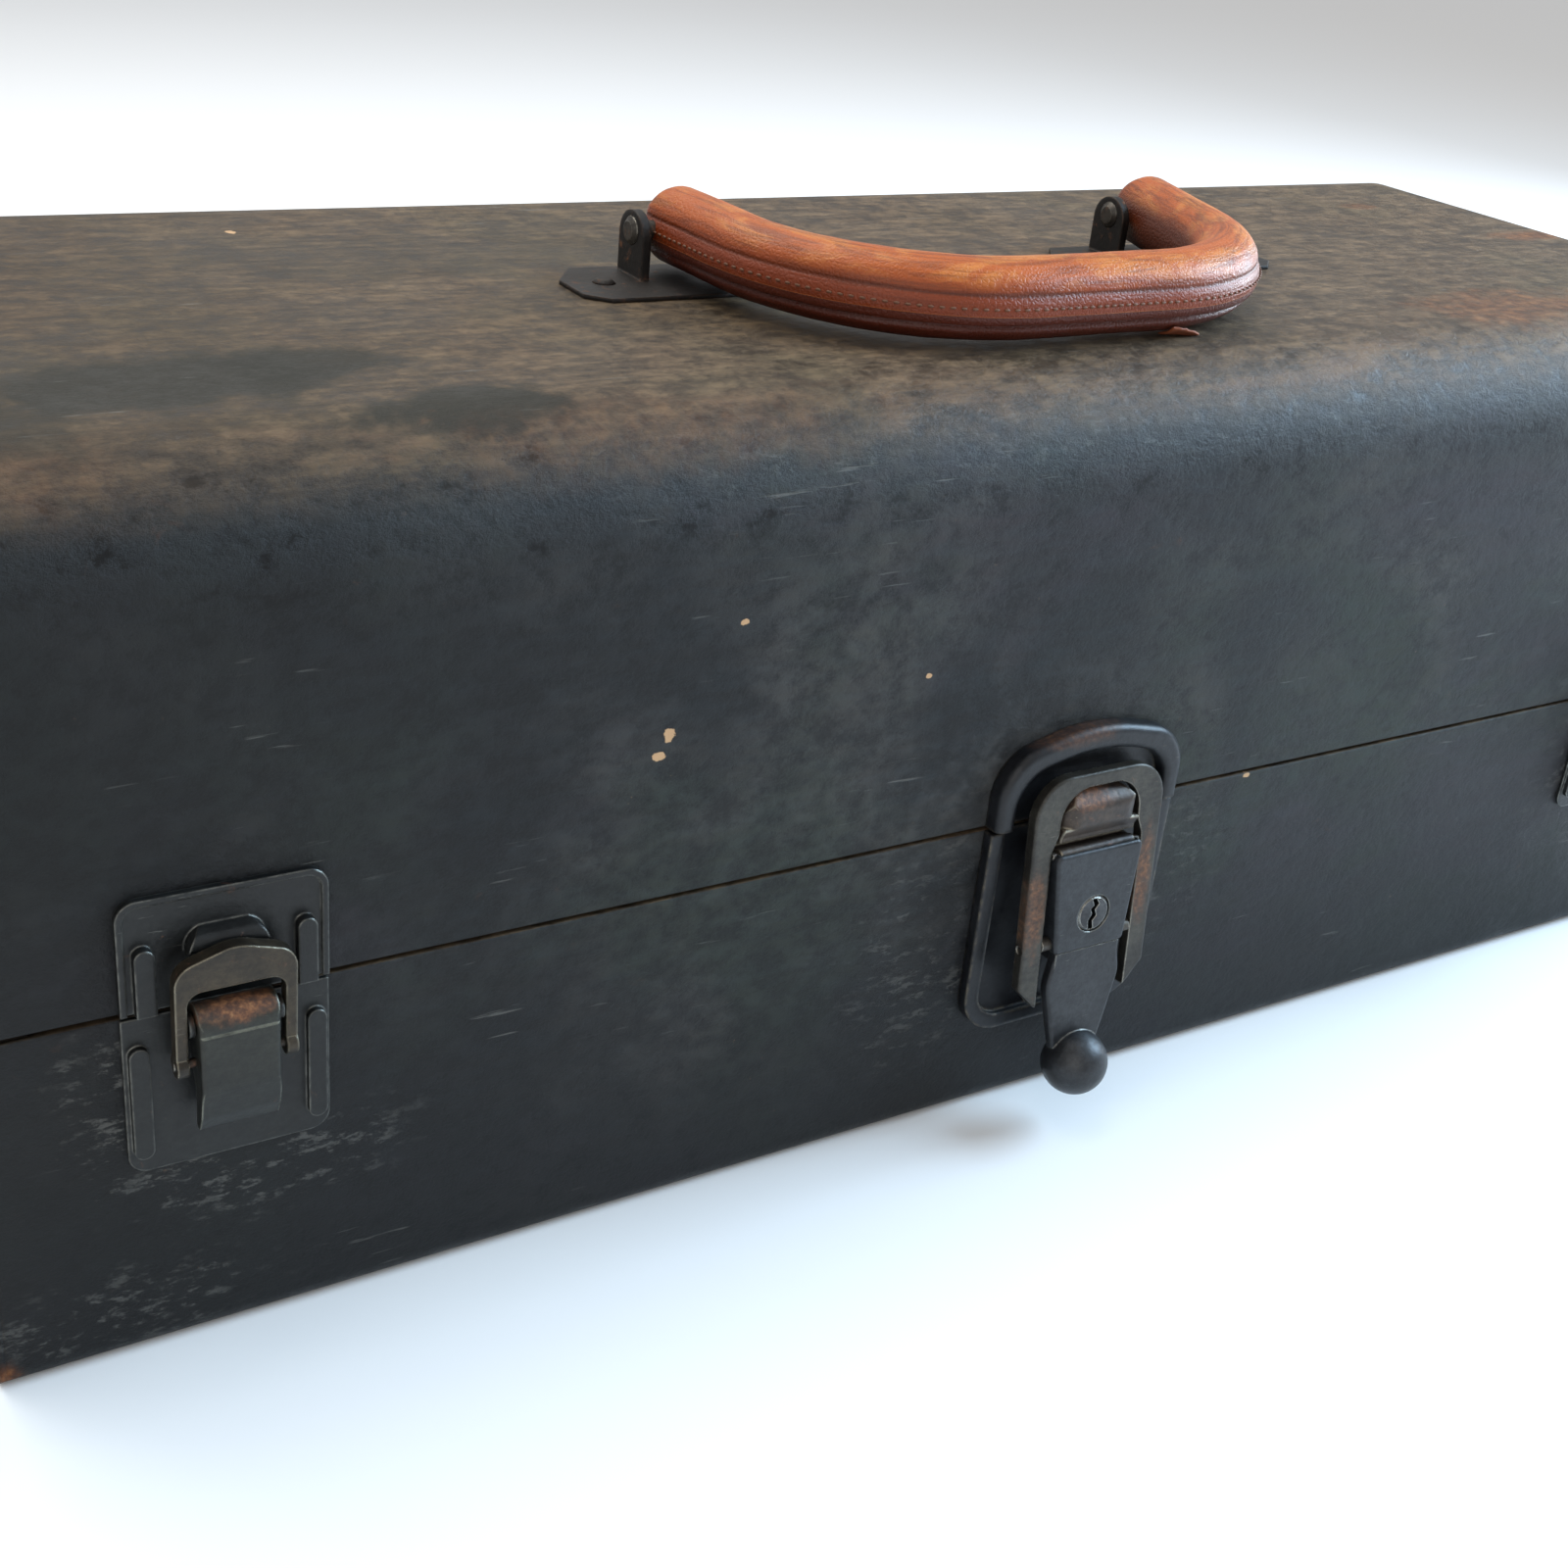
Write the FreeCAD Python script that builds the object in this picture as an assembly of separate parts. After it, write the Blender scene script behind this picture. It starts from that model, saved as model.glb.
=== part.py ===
# Vintage steel tool box: body, hinged lid, two bail latches, one locking draw latch and a leather handle.
# Frame: millimetres, +X along the front, -Y is the front, +Z up, origin at the middle of the bottom face.
import FreeCAD, Part
import math
import os

V = FreeCAD.Vector

# ---- driving dimensions ------------------------------------------------------
box_length = 508.0
box_depth = 204.0
box_height = 187.0
seam_height = 82.0          # parting plane between body and lid
seam_gap = 1.2              # open slit between the two shells
sheet = 1.2                 # sheet steel of both shells
bottom_radius = 5.0         # bend along the bottom edges
lid_radius = 27.0           # large bend along the lid's top edges
end_flange = 10.0           # folded rim of each end panel
fit = 0.05                  # clearance between nested sheets of one shell
run = 0.05                  # radial running clearance on pins
air = 0.4                   # least gap between pieces that move past each other

hem_height = 7.0            # folded top edge of the body
lip_rise = 6.0              # dust lip above the seam
lip_drop = 12.0

hinge_x = 150.0             # hinges sit left and right of the middle
hinge_width = 60.0
hinge_leaf = 20.0           # height of a leaf on its wall
hinge_stand = 3.6           # pin centre behind the rear wall
hinge_pin_r = 1.6
hinge_knuckle_r = 3.2
rivet_r = 1.5
rivet_head = 2.8

handle_offset = 10.4        # handle sits this far right of the middle
handle_half = 72.0          # half distance between the two arms at the pins
handle_reach = 67.5         # pin line to the middle of the grip
handle_grip_half = 60.0     # half length of the grip line
handle_set = 6.0            # sideways set of the worn grip
handle_corner = 50.0        # bend radius of the centre line
handle_r = 9.7             # leather radius
handle_core_r = 3.0
handle_pin_r = 2.2
handle_pin_rise = 11.3      # pin above the lid
grip_gap = 0.4              # grip to lid at rest
handle_end = 8.0            # leather behind the pin

ear_gap = 12.0              # arm centre to the inner face of an ear
ear_thick = 2.2
ear_width = 12.0
ear_top = 16.0              # ear above the lid
bracket_plate = 1.0
bracket_flange = 19.0
bracket_front = 20.0        # plate in front of and behind the pin line
bracket_back = 8.0
bracket_clip = 5.0

latch_x = 207.0             # side latches
latch_plate = 1.0
latch_half = 20.0
strike_top = 24.8           # strike plate above the seam
base_drop = 36.0            # base plate below the seam
rib_width = 3.8
lever_half = 7.7
lever_thick = 1.4
lever_drop = 23.8           # pivot to the lower end
lever_knuckle = 4.2
lever_pivot_out = 5.5       # pivot in front of the box face
lever_pivot_low = 1.4       # pivot below the seam
bail_pivot = 8.5            # lever pivot to bail pivot
latch_pin_r = 0.9
latch_ear = 1.0
bail_half = 11.6
bail_leg = 2.2
bail_thick = 3.0
bail_rise = 24.4            # bail pivot to the bail's top
bail_window = 17.0          # bail pivot to the top of its window
bail_lean = 3.4             # degrees

case_pivot_out = 8.7        # centre latch
case_pivot_low = 6.2
case_half_top = 13.2
case_half_low = 10.6
case_height = 26.0
case_front = 2.7            # pivot to the case's front face
case_lean = 4.0             # degrees
case_wall = 1.3
case_skin = 0.9             # front sheet of the case
plug_r = 4.65
plug_low = 16.6             # pivot to the plug's axis
plug_depth = 7.0
ring_half = 19.4
ring_window = 12.0
ring_corner = 10.0
ring_inner_corner = 8.4
ring_thick = 3.0
ring_pivot_r = 1.7
tongue_half = 11.2
tongue_out = 10.2           # tongue's face in front of the box
tongue_top = 9.6            # tongue above the seam
keeper_half = 27.5
keeper_rise = 23.4          # arch above the seam
keeper_drop = 57.0
keeper_rim = 6.8
arch_crown = 5.0            # drop of the arch from its top to its shoulders
arch_shoulder = 13.0
keeper_out = 5.0
tail_length = 32.0
ball_r = 8.4

# ---- values worked out from them ---------------------------------------------
half_l = box_length / 2
half_d = box_depth / 2
body_top = seam_height - seam_gap / 2
lid_low = seam_height + seam_gap / 2
hinge_y = half_d + hinge_stand
lever_y = -half_d - lever_pivot_out
lever_z = seam_height - lever_pivot_low
bail_z = lever_z - bail_pivot
case_y = -half_d - case_pivot_out
case_z = seam_height - case_pivot_low
handle_z = box_height + handle_pin_rise
grip_z = box_height + grip_gap + handle_r

parts = {}


def front(out):
    return -half_d - out


def corner_points(corners):
    # tangent points and arc middles for a closed outline of (u, v, radius) corners
    count = len(corners)
    result = []
    for i in range(count):
        u, v, radius = corners[i]
        here = V(u, v, 0)
        before = V(*corners[i - 1][:2], 0)
        after = V(*corners[(i + 1) % count][:2], 0)
        to_before = (before - here).normalize()
        to_after = (after - here).normalize()
        if radius <= 0:
            result.append((here, None, here))
            continue
        half_turn = to_before.getAngle(to_after) / 2
        tangent = radius / math.tan(half_turn)
        bisector = (to_before + to_after).normalize()
        centre = here + bisector * (radius / math.sin(half_turn))
        middle = centre - bisector * radius
        result.append((here + to_before * tangent, middle, here + to_after * tangent))
    return result


def outline(corners, place):
    points = corner_points(corners)
    edges = []
    for i, (start, middle, end) in enumerate(points):
        if middle is not None:
            edges.append(Part.Arc(place(start), place(middle), place(end)).toShape())
        following = points[(i + 1) % len(points)][0]
        if end.distanceToPoint(following) > 1e-6:
            edges.append(Part.LineSegment(place(end), place(following)).toShape())
    return Part.Wire(edges)


def prism_x(corners, x0, x1):
    # outline in (y, z), extruded along X
    wire = outline(corners, lambda p: V(x0, p.x, p.y))
    return Part.Face(wire).extrude(V(x1 - x0, 0, 0))


def prism_y(corners, y0, y1):
    # outline in (x, z), extruded along Y
    wire = outline(corners, lambda p: V(p.x, y0, p.y))
    return Part.Face(wire).extrude(V(0, y1 - y0, 0))


def prism_z(corners, z0, z1):
    wire = outline(corners, lambda p: V(p.x, p.y, z0))
    return Part.Face(wire).extrude(V(0, 0, z1 - z0))


def block(x0, x1, y0, y1, z0, z1):
    low = V(min(x0, x1), min(y0, y1), min(z0, z1))
    return Part.makeBox(abs(x1 - x0), abs(y1 - y0), abs(z1 - z0), low)


def rod_x(x0, x1, y, z, radius):
    return Part.makeCylinder(radius, x1 - x0, V(x0, y, z), V(1, 0, 0))


def rod_y(y0, y1, x, z, radius):
    return Part.makeCylinder(radius, y1 - y0, V(x, y0, z), V(0, 1, 0))


def fuse(shapes):
    return shapes[0].multiFuse(shapes[1:]).removeSplitter() if len(shapes) > 1 else shapes[0]


def mirrored(shape):
    return shape.mirror(V(0, 0, 0), V(1, 0, 0))


def moved(shape, x, y, z):
    copy = shape.copy()
    copy.translate(V(x, y, z))
    return copy


def turned(shape, y, z, degrees):
    copy = shape.copy()
    copy.rotate(V(0, y, z), V(1, 0, 0), degrees)
    return copy


def keep(name, shape):
    parts[name] = shape


# ---- outlines shared by the shells -------------------------------------------
def body_outline(inset, top):
    side = half_d - inset
    radius = bottom_radius - inset
    return [(-side, inset, radius), (side, inset, radius), (side, top, 0), (-side, top, 0)]


def lid_outline(inset, low):
    side = half_d - inset
    radius = lid_radius - inset
    return [(-side, low, 0), (side, low, 0), (side, box_height - inset, radius),
            (-side, box_height - inset, radius)]


# ---- body --------------------------------------------------------------------
def make_body_wrap():
    x = half_l - sheet
    shell = prism_x(body_outline(0, body_top), -x, x)
    inside = prism_x(body_outline(sheet, body_top + 1), -x - 1, x + 1)
    shell = shell.cut(inside)
    hem_x = x - end_flange - air
    for side in (-1, 1):
        wall = side * (half_d - sheet)
        hem = block(-hem_x, hem_x, wall - side * sheet, wall, body_top - hem_height, body_top)
        shell = shell.fuse(hem)
    return shell.removeSplitter()


def make_body_end():
    plate = prism_x(body_outline(0, body_top), half_l - sheet, half_l)
    inset = sheet + fit
    x = half_l - sheet - end_flange
    rim = prism_x(body_outline(inset, body_top), x, half_l - sheet)
    rim = rim.cut(prism_x(body_outline(inset + sheet, body_top + 1), x - 1, half_l))
    return plate.fuse(rim).removeSplitter()


def make_lip(side):
    # dust lips stand on the inner faces of the hems and of the end panels
    low = body_top - lip_drop
    high = body_top + lip_rise
    y = half_d - 2 * sheet - fit
    if side == "front":
        x = half_l - sheet - end_flange - 2
        return block(-x, x, -y, -y + sheet, low, high)
    x = half_l - sheet - fit
    reach = y - sheet - 3
    strip = block(x - sheet, x, -reach, reach, low, high)
    return strip if side == "right" else mirrored(strip)


# ---- lid ---------------------------------------------------------------------
def make_lid_wrap():
    x = half_l - sheet
    shell = prism_x(lid_outline(0, lid_low), -x, x)
    return shell.cut(prism_x(lid_outline(sheet, lid_low - 1), -x - 1, x + 1))


def make_lid_end():
    plate = prism_x(lid_outline(0, lid_low), half_l - sheet, half_l)
    inset = sheet + fit
    x = half_l - sheet - end_flange
    rim_low = lid_low + lip_rise + 2
    rim = prism_x(lid_outline(inset, rim_low), x, half_l - sheet)
    rim = rim.cut(prism_x(lid_outline(inset + sheet, rim_low - 1), x - 1, half_l))
    return plate.fuse(rim).removeSplitter()


# ---- rear hinges -------------------------------------------------------------
def hinge_spans():
    third = hinge_width / 3
    start = hinge_x - hinge_width / 2
    gap = air / 2
    return {"body": [(start, start + third - gap), (start + 2 * third + gap, start + hinge_width)],
            "lid": [(start + third + gap, start + 2 * third - gap)]}


def make_hinge_leaf(owner):
    spans = hinge_spans()
    other = "lid" if owner == "body" else "body"
    x0 = hinge_x - hinge_width / 2
    x1 = hinge_x + hinge_width / 2
    if owner == "body":
        leaf = block(x0, x1, half_d, half_d + sheet, seam_height - hinge_leaf, body_top - 0.4)
    else:
        leaf = block(x0, x1, half_d, half_d + sheet, lid_low + 0.4, seam_height + hinge_leaf)
    for a, b in spans[other]:
        leaf = leaf.cut(rod_x(a - air, b + air, hinge_y, seam_height, hinge_knuckle_r + air))
    for a, b in spans[owner]:
        leaf = leaf.fuse(rod_x(a, b, hinge_y, seam_height, hinge_knuckle_r))
    bore = hinge_pin_r if owner == "body" else hinge_pin_r + run
    leaf = leaf.cut(rod_x(x0 - 1, x1 + 1, hinge_y, seam_height, bore))
    for x, z in rivet_places(owner):
        leaf = leaf.cut(rod_y(half_d - 1, half_d + 2 * sheet, x, z, rivet_r))
    return leaf.removeSplitter()


def rivet_places(owner):
    side = -1 if owner == "body" else 1
    z = seam_height + side * hinge_leaf * 0.68
    return [(hinge_x + s * hinge_width * 0.36, z) for s in (-1, 0, 1)]


def make_rivet(x, z):
    # shank through leaf and wall, domed head behind and a flat tail inside
    shank = rod_y(half_d - sheet, half_d + sheet, x, z, rivet_r)
    dome = Part.makeSphere(rivet_head, V(x, half_d + sheet, z))
    dome = dome.common(block(x - 5, x + 5, half_d + sheet, half_d + 9, z - 5, z + 5))
    squash = FreeCAD.Matrix()
    squash.move(V(0, -half_d - sheet, 0))
    squash.scale(V(1, 0.6, 1))
    squash.move(V(0, half_d + sheet, 0))
    dome = dome.transformGeometry(squash)
    tail = rod_y(half_d - sheet - 0.8, half_d - sheet, x, z, rivet_head * 0.8)
    return shank.fuse(dome).fuse(tail)


def punch_rivets(shell, owner):
    for x, z in rivet_places(owner):
        for side in (-1, 1):
            shell = shell.cut(rod_y(half_d - 3 * sheet, half_d + sheet, side * x, z, rivet_r))
    return shell


# ---- handle ------------------------------------------------------------------
def arm_x(side):
    return handle_offset + side * handle_half


def arm_start(pin, corner, start):
    # the arm's line runs through the pin; start is measured forward from it
    return pin + (corner - pin) * (start / handle_reach)


def handle_path(start):
    # straight runs (from, to, None) and bends (from, to, centre) from the left arm to the right one
    grip_middle = handle_offset - handle_set
    corner_left = V(grip_middle - handle_grip_half, handle_reach, 0)
    corner_right = V(grip_middle + handle_grip_half, handle_reach, 0)
    left = arm_start(V(arm_x(-1), 0, 0), corner_left, start)
    right = arm_start(V(arm_x(1), 0, 0), corner_right, start)
    line = [left, corner_left, corner_right, right]
    stretches = []
    last = left
    for i in (1, 2):
        back = (line[i - 1] - line[i]).normalize()
        on = (line[i + 1] - line[i]).normalize()
        half_turn = back.getAngle(on) / 2
        tangent = handle_corner / math.tan(half_turn)
        centre = line[i] + (back + on).normalize() * (handle_corner / math.sin(half_turn))
        bend_start = line[i] + back * tangent
        bend_end = line[i] + on * tangent
        stretches.append((last, bend_start, None))
        stretches.append((bend_start, bend_end, centre))
        last = bend_end
    stretches.append((last, right, None))
    return stretches


def handle_tube(start, radius):
    # built flat, then leaned about the pins so that the grip comes down to the lid
    pieces = []
    for begin, end, centre in handle_path(start):
        a = V(begin.x, -begin.y, handle_z)
        b = V(end.x, -end.y, handle_z)
        if centre is None:
            direction = b - a
            pieces.append(Part.makeCylinder(radius, direction.Length, a, direction))
            continue
        c = V(centre.x, -centre.y, handle_z)
        axis = (a - c).cross(b - c).normalize()
        disc = Part.Face(Part.Wire([Part.Circle(a, direction, radius).toShape()]))
        pieces.append(disc.revolve(c, axis, math.degrees((a - c).getAngle(b - c))))
    tube = pieces[0].multiFuse(pieces[1:]).removeSplitter()
    return turned(tube, 0, handle_z, math.degrees(math.atan((handle_z - grip_z) / handle_reach)))


def make_handle_core():
    core = handle_tube(handle_pin_r + 3, handle_core_r)
    for side in (-1, 1):
        x = arm_x(side)
        eye = rod_x(x - 3, x + 3, 0, handle_z, handle_pin_r + 3.4)
        core = core.fuse(eye)
    for side in (-1, 1):
        core = core.cut(rod_x(arm_x(side) - 6, arm_x(side) + 6, 0, handle_z, handle_pin_r + run))
    return core.removeSplitter()


def make_handle_grip():
    grip = handle_tube(-handle_end, handle_r)
    grip = grip.cut(handle_tube(handle_pin_r + 3, handle_core_r + fit))
    for side in (-1, 1):
        x = arm_x(side)
        grip = grip.cut(rod_x(x - 3 - fit, x + 3 + fit, 0, handle_z, handle_pin_r + 3.4 + fit))
        grip = grip.cut(rod_x(x - 20, x + 20, 0, handle_z, handle_pin_r + air))
        # the end is rounded about the pin so that the handle can swing over
        beyond = block(x - 20, x + 20, 0, 3 * handle_r, handle_z - 20, handle_z + 20)
        grip = grip.cut(beyond.cut(rod_x(x - 21, x + 21, 0, handle_z, handle_r)))
    return grip.removeSplitter()


def make_handle_bracket(side):
    x = arm_x(side)
    outer = ear_gap + ear_thick
    reach = outer + bracket_flange
    clip = bracket_clip
    top = box_height + bracket_plate
    plate = prism_z([(x - reach + clip, -bracket_front, 0), (x + reach - clip, -bracket_front, 0),
                     (x + reach, -bracket_front + clip, 0), (x + reach, bracket_back - 2 * clip, 0),
                     (x + reach - 1.4 * clip, bracket_back, 0), (x - reach + 1.4 * clip, bracket_back, 0),
                     (x - reach, bracket_back - 2 * clip, 0), (x - reach, -bracket_front + clip, 0)],
                    box_height, top)
    ear_high = box_height + ear_top
    half = ear_width / 2
    bracket = plate
    for ear in (-1, 1):
        a = x + ear * ear_gap
        b = x + ear * outer
        shape = prism_x([(-half, top - 0.2, 0), (half, top - 0.2, 0), (half, ear_high, half),
                         (-half, ear_high, half)], min(a, b), max(a, b))
        bracket = bracket.fuse(shape)
    bracket = bracket.cut(rod_x(x - 20, x + 20, 0, handle_z, handle_pin_r))
    for rx, ry in bracket_rivets(side):
        bracket = bracket.cut(Part.makeCylinder(rivet_r, 6, V(rx, ry, box_height - 3)))
    return bracket.removeSplitter()


def bracket_rivets(side):
    x = arm_x(side)
    reach = ear_gap + ear_thick + bracket_flange * 0.5
    y = (bracket_back - bracket_front) / 2
    return [(x + s * reach, y) for s in (-1, 1)]


def make_bracket_rivets():
    shapes = []
    for side in (-1, 1):
        for x, y in bracket_rivets(side):
            shank = Part.makeCylinder(rivet_r, sheet + bracket_plate, V(x, y, box_height - sheet))
            head = Part.makeCone(rivet_head, rivet_head * 0.62, 0.9, V(x, y, box_height + bracket_plate))
            tail = Part.makeCylinder(rivet_head * 0.8, 0.8, V(x, y, box_height - sheet - 0.8))
            shapes.append(shank.fuse(head).fuse(tail))
    return Part.makeCompound(shapes)


def make_handle_pin(side):
    x = arm_x(side)
    half = ear_gap + ear_thick
    pin = rod_x(x - half, x + half, 0, handle_z, handle_pin_r)
    for s in (-1, 1):
        face = x + s * half
        head = Part.makeCone(handle_pin_r + 1.2, handle_pin_r, 1.0, V(face, 0, handle_z), V(s, 0, 0))
        pin = pin.fuse(head)
    return pin.removeSplitter()


# ---- side latches ------------------------------------------------------------
def make_strike_plate():
    top = seam_height + strike_top
    half = latch_half
    plate = prism_y([(-half, lid_low, 0), (half, lid_low, 0), (half, top, 4), (-half, top, 4)],
                    front(latch_plate), front(0))
    rim = prism_y([(-half, lid_low, 0), (half, lid_low, 0), (half, top, 4), (-half, top, 4)],
                  front(latch_plate + 0.7), front(latch_plate) + 0.1)
    edge = 1.3
    rim = rim.cut(prism_y([(-half + edge, lid_low - 1, 0), (half - edge, lid_low - 1, 0),
                           (half - edge, top - edge, 3), (-half + edge, top - edge, 3)],
                          front(latch_plate + 2), front(-1)))
    plate = plate.fuse(rim)
    rib_top = seam_height + 15.0
    for side in (-1, 1):
        x = side * 15.4
        rib = prism_y([(x - rib_width / 2, lid_low, 0), (x + rib_width / 2, lid_low, 0),
                       (x + rib_width / 2, rib_top, rib_width / 2),
                       (x - rib_width / 2, rib_top, rib_width / 2)], front(3.2), front(0.5))
        plate = plate.fuse(rib)
    return plate.fuse(make_keeper_dome()).removeSplitter()


def make_keeper_dome():
    # half dome that stands over the bail's bar
    low = seam_height + 12.2
    high = seam_height + 17.4
    profile = [(front(0.5), low, 0), (front(4.7), low + 0.8, 1.2), (front(4.4), high - 1.4, 2.0),
               (front(0.5), high, 0)]
    dome = prism_x(profile, -7.6, 7.6)
    rounding = prism_y([(-7.6, low - 1, 0), (7.6, low - 1, 0), (7.6, high, 4.5), (-7.6, high, 4.5)],
                       front(6), front(0))
    return dome.common(rounding)


def make_latch_base():
    low = seam_height - base_drop
    half = latch_half
    plate = prism_y([(-half, low, 4), (half, low, 4), (half, body_top, 0), (-half, body_top, 0)],
                    front(latch_plate), front(0))
    for side in (-1, 1):
        x = side * 17.2
        rib = prism_y([(x - rib_width / 2, low + 4, rib_width / 2),
                       (x + rib_width / 2, low + 4, rib_width / 2),
                       (x + rib_width / 2, body_top - 6.0, rib_width / 2),
                       (x - rib_width / 2, body_top - 6.0, rib_width / 2)], front(2.6), front(0.5))
        plate = plate.fuse(rib)
    ear_r = latch_pin_r + 1.5
    inner = lever_half + 0.3
    root = lever_z - ear_r - 4.0
    for side in (-1, 1):
        a = side * inner
        b = side * (inner + latch_ear)
        ear = rod_x(min(a, b), max(a, b), lever_y, lever_z, ear_r)
        arm = prism_x([(front(0.5), root, 0), (lever_y, lever_z - ear_r, 0), (lever_y, lever_z + ear_r, 0),
                       (front(0.5), body_top - 0.2, 0)], min(a, b), max(a, b))
        plate = plate.fuse(ear.fuse(arm))
    return plate.cut(rod_x(-20, 20, lever_y, lever_z, latch_pin_r)).removeSplitter()


def make_latch_lever():
    # pressed lever: front skin with two cheeks and a rounded knuckle round the pivot
    skin = lever_y - lever_knuckle
    low = lever_z - lever_drop
    outer = [(skin, lever_z, 0), (skin, lever_z - 13, 10), (front(8.2), low + 3.4, 4), (front(6.6), low, 0.6),
             (front(4.8), low, 0.6), (lever_y + 0.4, lever_z - bail_pivot - 6, 2),
             (lever_y + lever_knuckle - 1, lever_z - bail_pivot, 2),
             (lever_y + lever_knuckle, lever_z, 0)]
    body = prism_x(outer, -lever_half, lever_half)
    body = body.fuse(rod_x(-lever_half, lever_half, lever_y, lever_z, lever_knuckle)).removeSplitter()
    body = body.common(soft_front(lever_half, skin, -half_d, low - 1, lever_z + 9, 0.9))
    hollow = prism_x([(skin + lever_thick, lever_z + lever_knuckle - lever_thick, 1.2),
                      (skin + lever_thick, low + 5.0, 2), (lever_y + lever_knuckle + 1, low + 3.0, 0),
                      (lever_y + lever_knuckle + 1, lever_z + lever_knuckle - lever_thick, 0)],
                     -lever_half + lever_thick, lever_half - lever_thick)
    body = body.cut(hollow)
    crease_edge = [(skin - 1, lever_z - 1.9, 0), (skin + 0.4, lever_z - 0.9, 0), (skin - 1, lever_z + 0.1, 0)]
    crease = prism_x(crease_edge, -lever_half - 1, lever_half + 1)
    body = body.cut(crease)
    for z in (lever_z, bail_z):
        bore = latch_pin_r + run if z == lever_z else latch_pin_r
        body = body.cut(rod_x(-20, 20, lever_y, z, bore))
    return body.removeSplitter()


def soft_front(half, near, far, z0, z1, radius):
    # upright envelope whose two front edges are rounded
    return prism_z([(-half, near, radius), (half, near, radius), (half, far, 0), (-half, far, 0)], z0, z1)


def make_latch_bail():
    half = bail_half
    top = bail_z + bail_rise
    inner = half - bail_leg
    eye_r = latch_pin_r + 1.6
    near = lever_y - bail_thick / 2
    far = lever_y + bail_thick / 2
    plate = prism_y([(-half, bail_z, 0), (half, bail_z, 0), (half, top - 2.2, 5.0), (0, top + 1.6, 9),
                     (-half, top - 2.2, 5.0)], near, far)
    window = prism_y([(-inner, bail_z - 9, 0), (inner, bail_z - 9, 0),
                      (inner, bail_z + bail_window, 3.0), (-inner, bail_z + bail_window, 3.0)],
                     near - 1, far + 1)
    bail = plate
    for side in (-1, 1):
        a = side * inner
        b = side * half
        bail = bail.fuse(rod_x(min(a, b), max(a, b), lever_y, bail_z, eye_r))
    bail = bail.cut(window).cut(rod_x(-20, 20, lever_y, bail_z, latch_pin_r + run))
    return turned(bail.removeSplitter(), lever_y, bail_z, bail_lean)


def make_latch_pins():
    pivot = rod_x(-lever_half - 0.3 - latch_ear, lever_half + 0.3 + latch_ear, lever_y, lever_z, latch_pin_r)
    bail = rod_x(-bail_half - 0.3, bail_half + 0.3, lever_y, bail_z, latch_pin_r)
    return pivot, bail


# ---- centre latch ------------------------------------------------------------
def leaned(shape):
    return turned(shape, case_y, case_z, -case_lean)


def make_centre_base():
    # flat plate with a raised rim down both sides and across the bottom
    half = keeper_half
    low = seam_height - keeper_drop
    outer = [(-half, low, 11), (half, low, 11), (half, body_top, 0), (-half, body_top, 0)]
    plate = prism_y(outer, front(1.2), front(0))
    rim = prism_y(outer, front(3.2), front(0.6))
    inset = keeper_rim * 0.55
    rim = rim.cut(prism_y([(-half + inset, low + inset, 8), (half - inset, low + inset, 8),
                           (half - inset, body_top + 1, 0), (-half + inset, body_top + 1, 0)],
                          front(6), front(-1)))
    return plate.fuse(rim).removeSplitter()


def arch_corners(inset, low, top):
    half = keeper_half - inset
    shoulder = top - arch_crown
    crown = top + arch_crown * 0.35
    return [(-half, low, 0), (half, low, 0), (half, shoulder, arch_shoulder - inset * 0.6),
            (0, crown, 50), (-half, shoulder, arch_shoulder - inset * 0.6)]


def make_arch_keeper():
    # hooded arch on the lid, hollow under the hood
    top = seam_height + keeper_rise
    plate = prism_y(arch_corners(0, lid_low, top), front(1.0), front(0))
    hood = prism_y(arch_corners(0, lid_low, top), front(keeper_out), front(0.5))
    inner = prism_y(arch_corners(keeper_rim * 0.8, lid_low - 1, top - keeper_rim * 0.8),
                    front(keeper_out + 1), front(-1))
    hood = hood.cut(inner)
    chosen = [e for e in hood.Edges if abs(e.BoundBox.YMin - front(keeper_out)) < 1e-3
              and e.BoundBox.YLength < 1e-3 and e.BoundBox.ZMax > lid_low + 0.5]
    hood = hood.makeFillet(2.0, chosen)
    return plate.fuse(hood).removeSplitter()


def make_tongue():
    # block on the body that rises through the ring and carries the case's pivot
    top = seam_height + tongue_top
    low = case_z - 4.0
    face = front(tongue_out)
    side = tongue_half
    block_shape = prism_x([(front(1.2), low, 0), (front(6.0), low, 1), (front(8.8), case_z + 3, 1),
                           (front(8.8), case_z + 4.4, 1), (face, case_z + 7.5, 2),
                           (face, top - 3.2, 3.4), (front(5.6), top, 2.5), (front(3.2), top, 1),
                           (front(2.0), lid_low + 3, 1), (front(1.2), body_top - 0.6, 0)], -side, side)
    rounding = prism_y([(-side, low - 1, 0), (side, low - 1, 0), (side, top, 8.0), (-side, top, 8.0)],
                       front(12), front(0))
    plan = prism_z([(-side, face, 4.5), (side, face, 4.5), (side, front(0), 0), (-side, front(0), 0)],
                   lid_low + 0.2, top + 1)
    below = block(-side, side, face - 1, front(0), low - 1, lid_low + 0.2)
    tongue = block_shape.common(rounding).common(plan.fuse(below))
    swing = case_front + 0.6
    tongue = tongue.cut(rod_x(-side - 1, side + 1, case_y, case_z, swing))
    lobe = rod_x(-side, side, case_y, case_z, 1.5)
    neck = block(-side, side, case_y, case_y + swing + 0.4, case_z - 0.9, case_z + 0.9)
    tongue = tongue.fuse(lobe).fuse(neck)
    return tongue.cut(rod_x(-20, 20, case_y, case_z, 0.8 + run)).removeSplitter()


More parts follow.
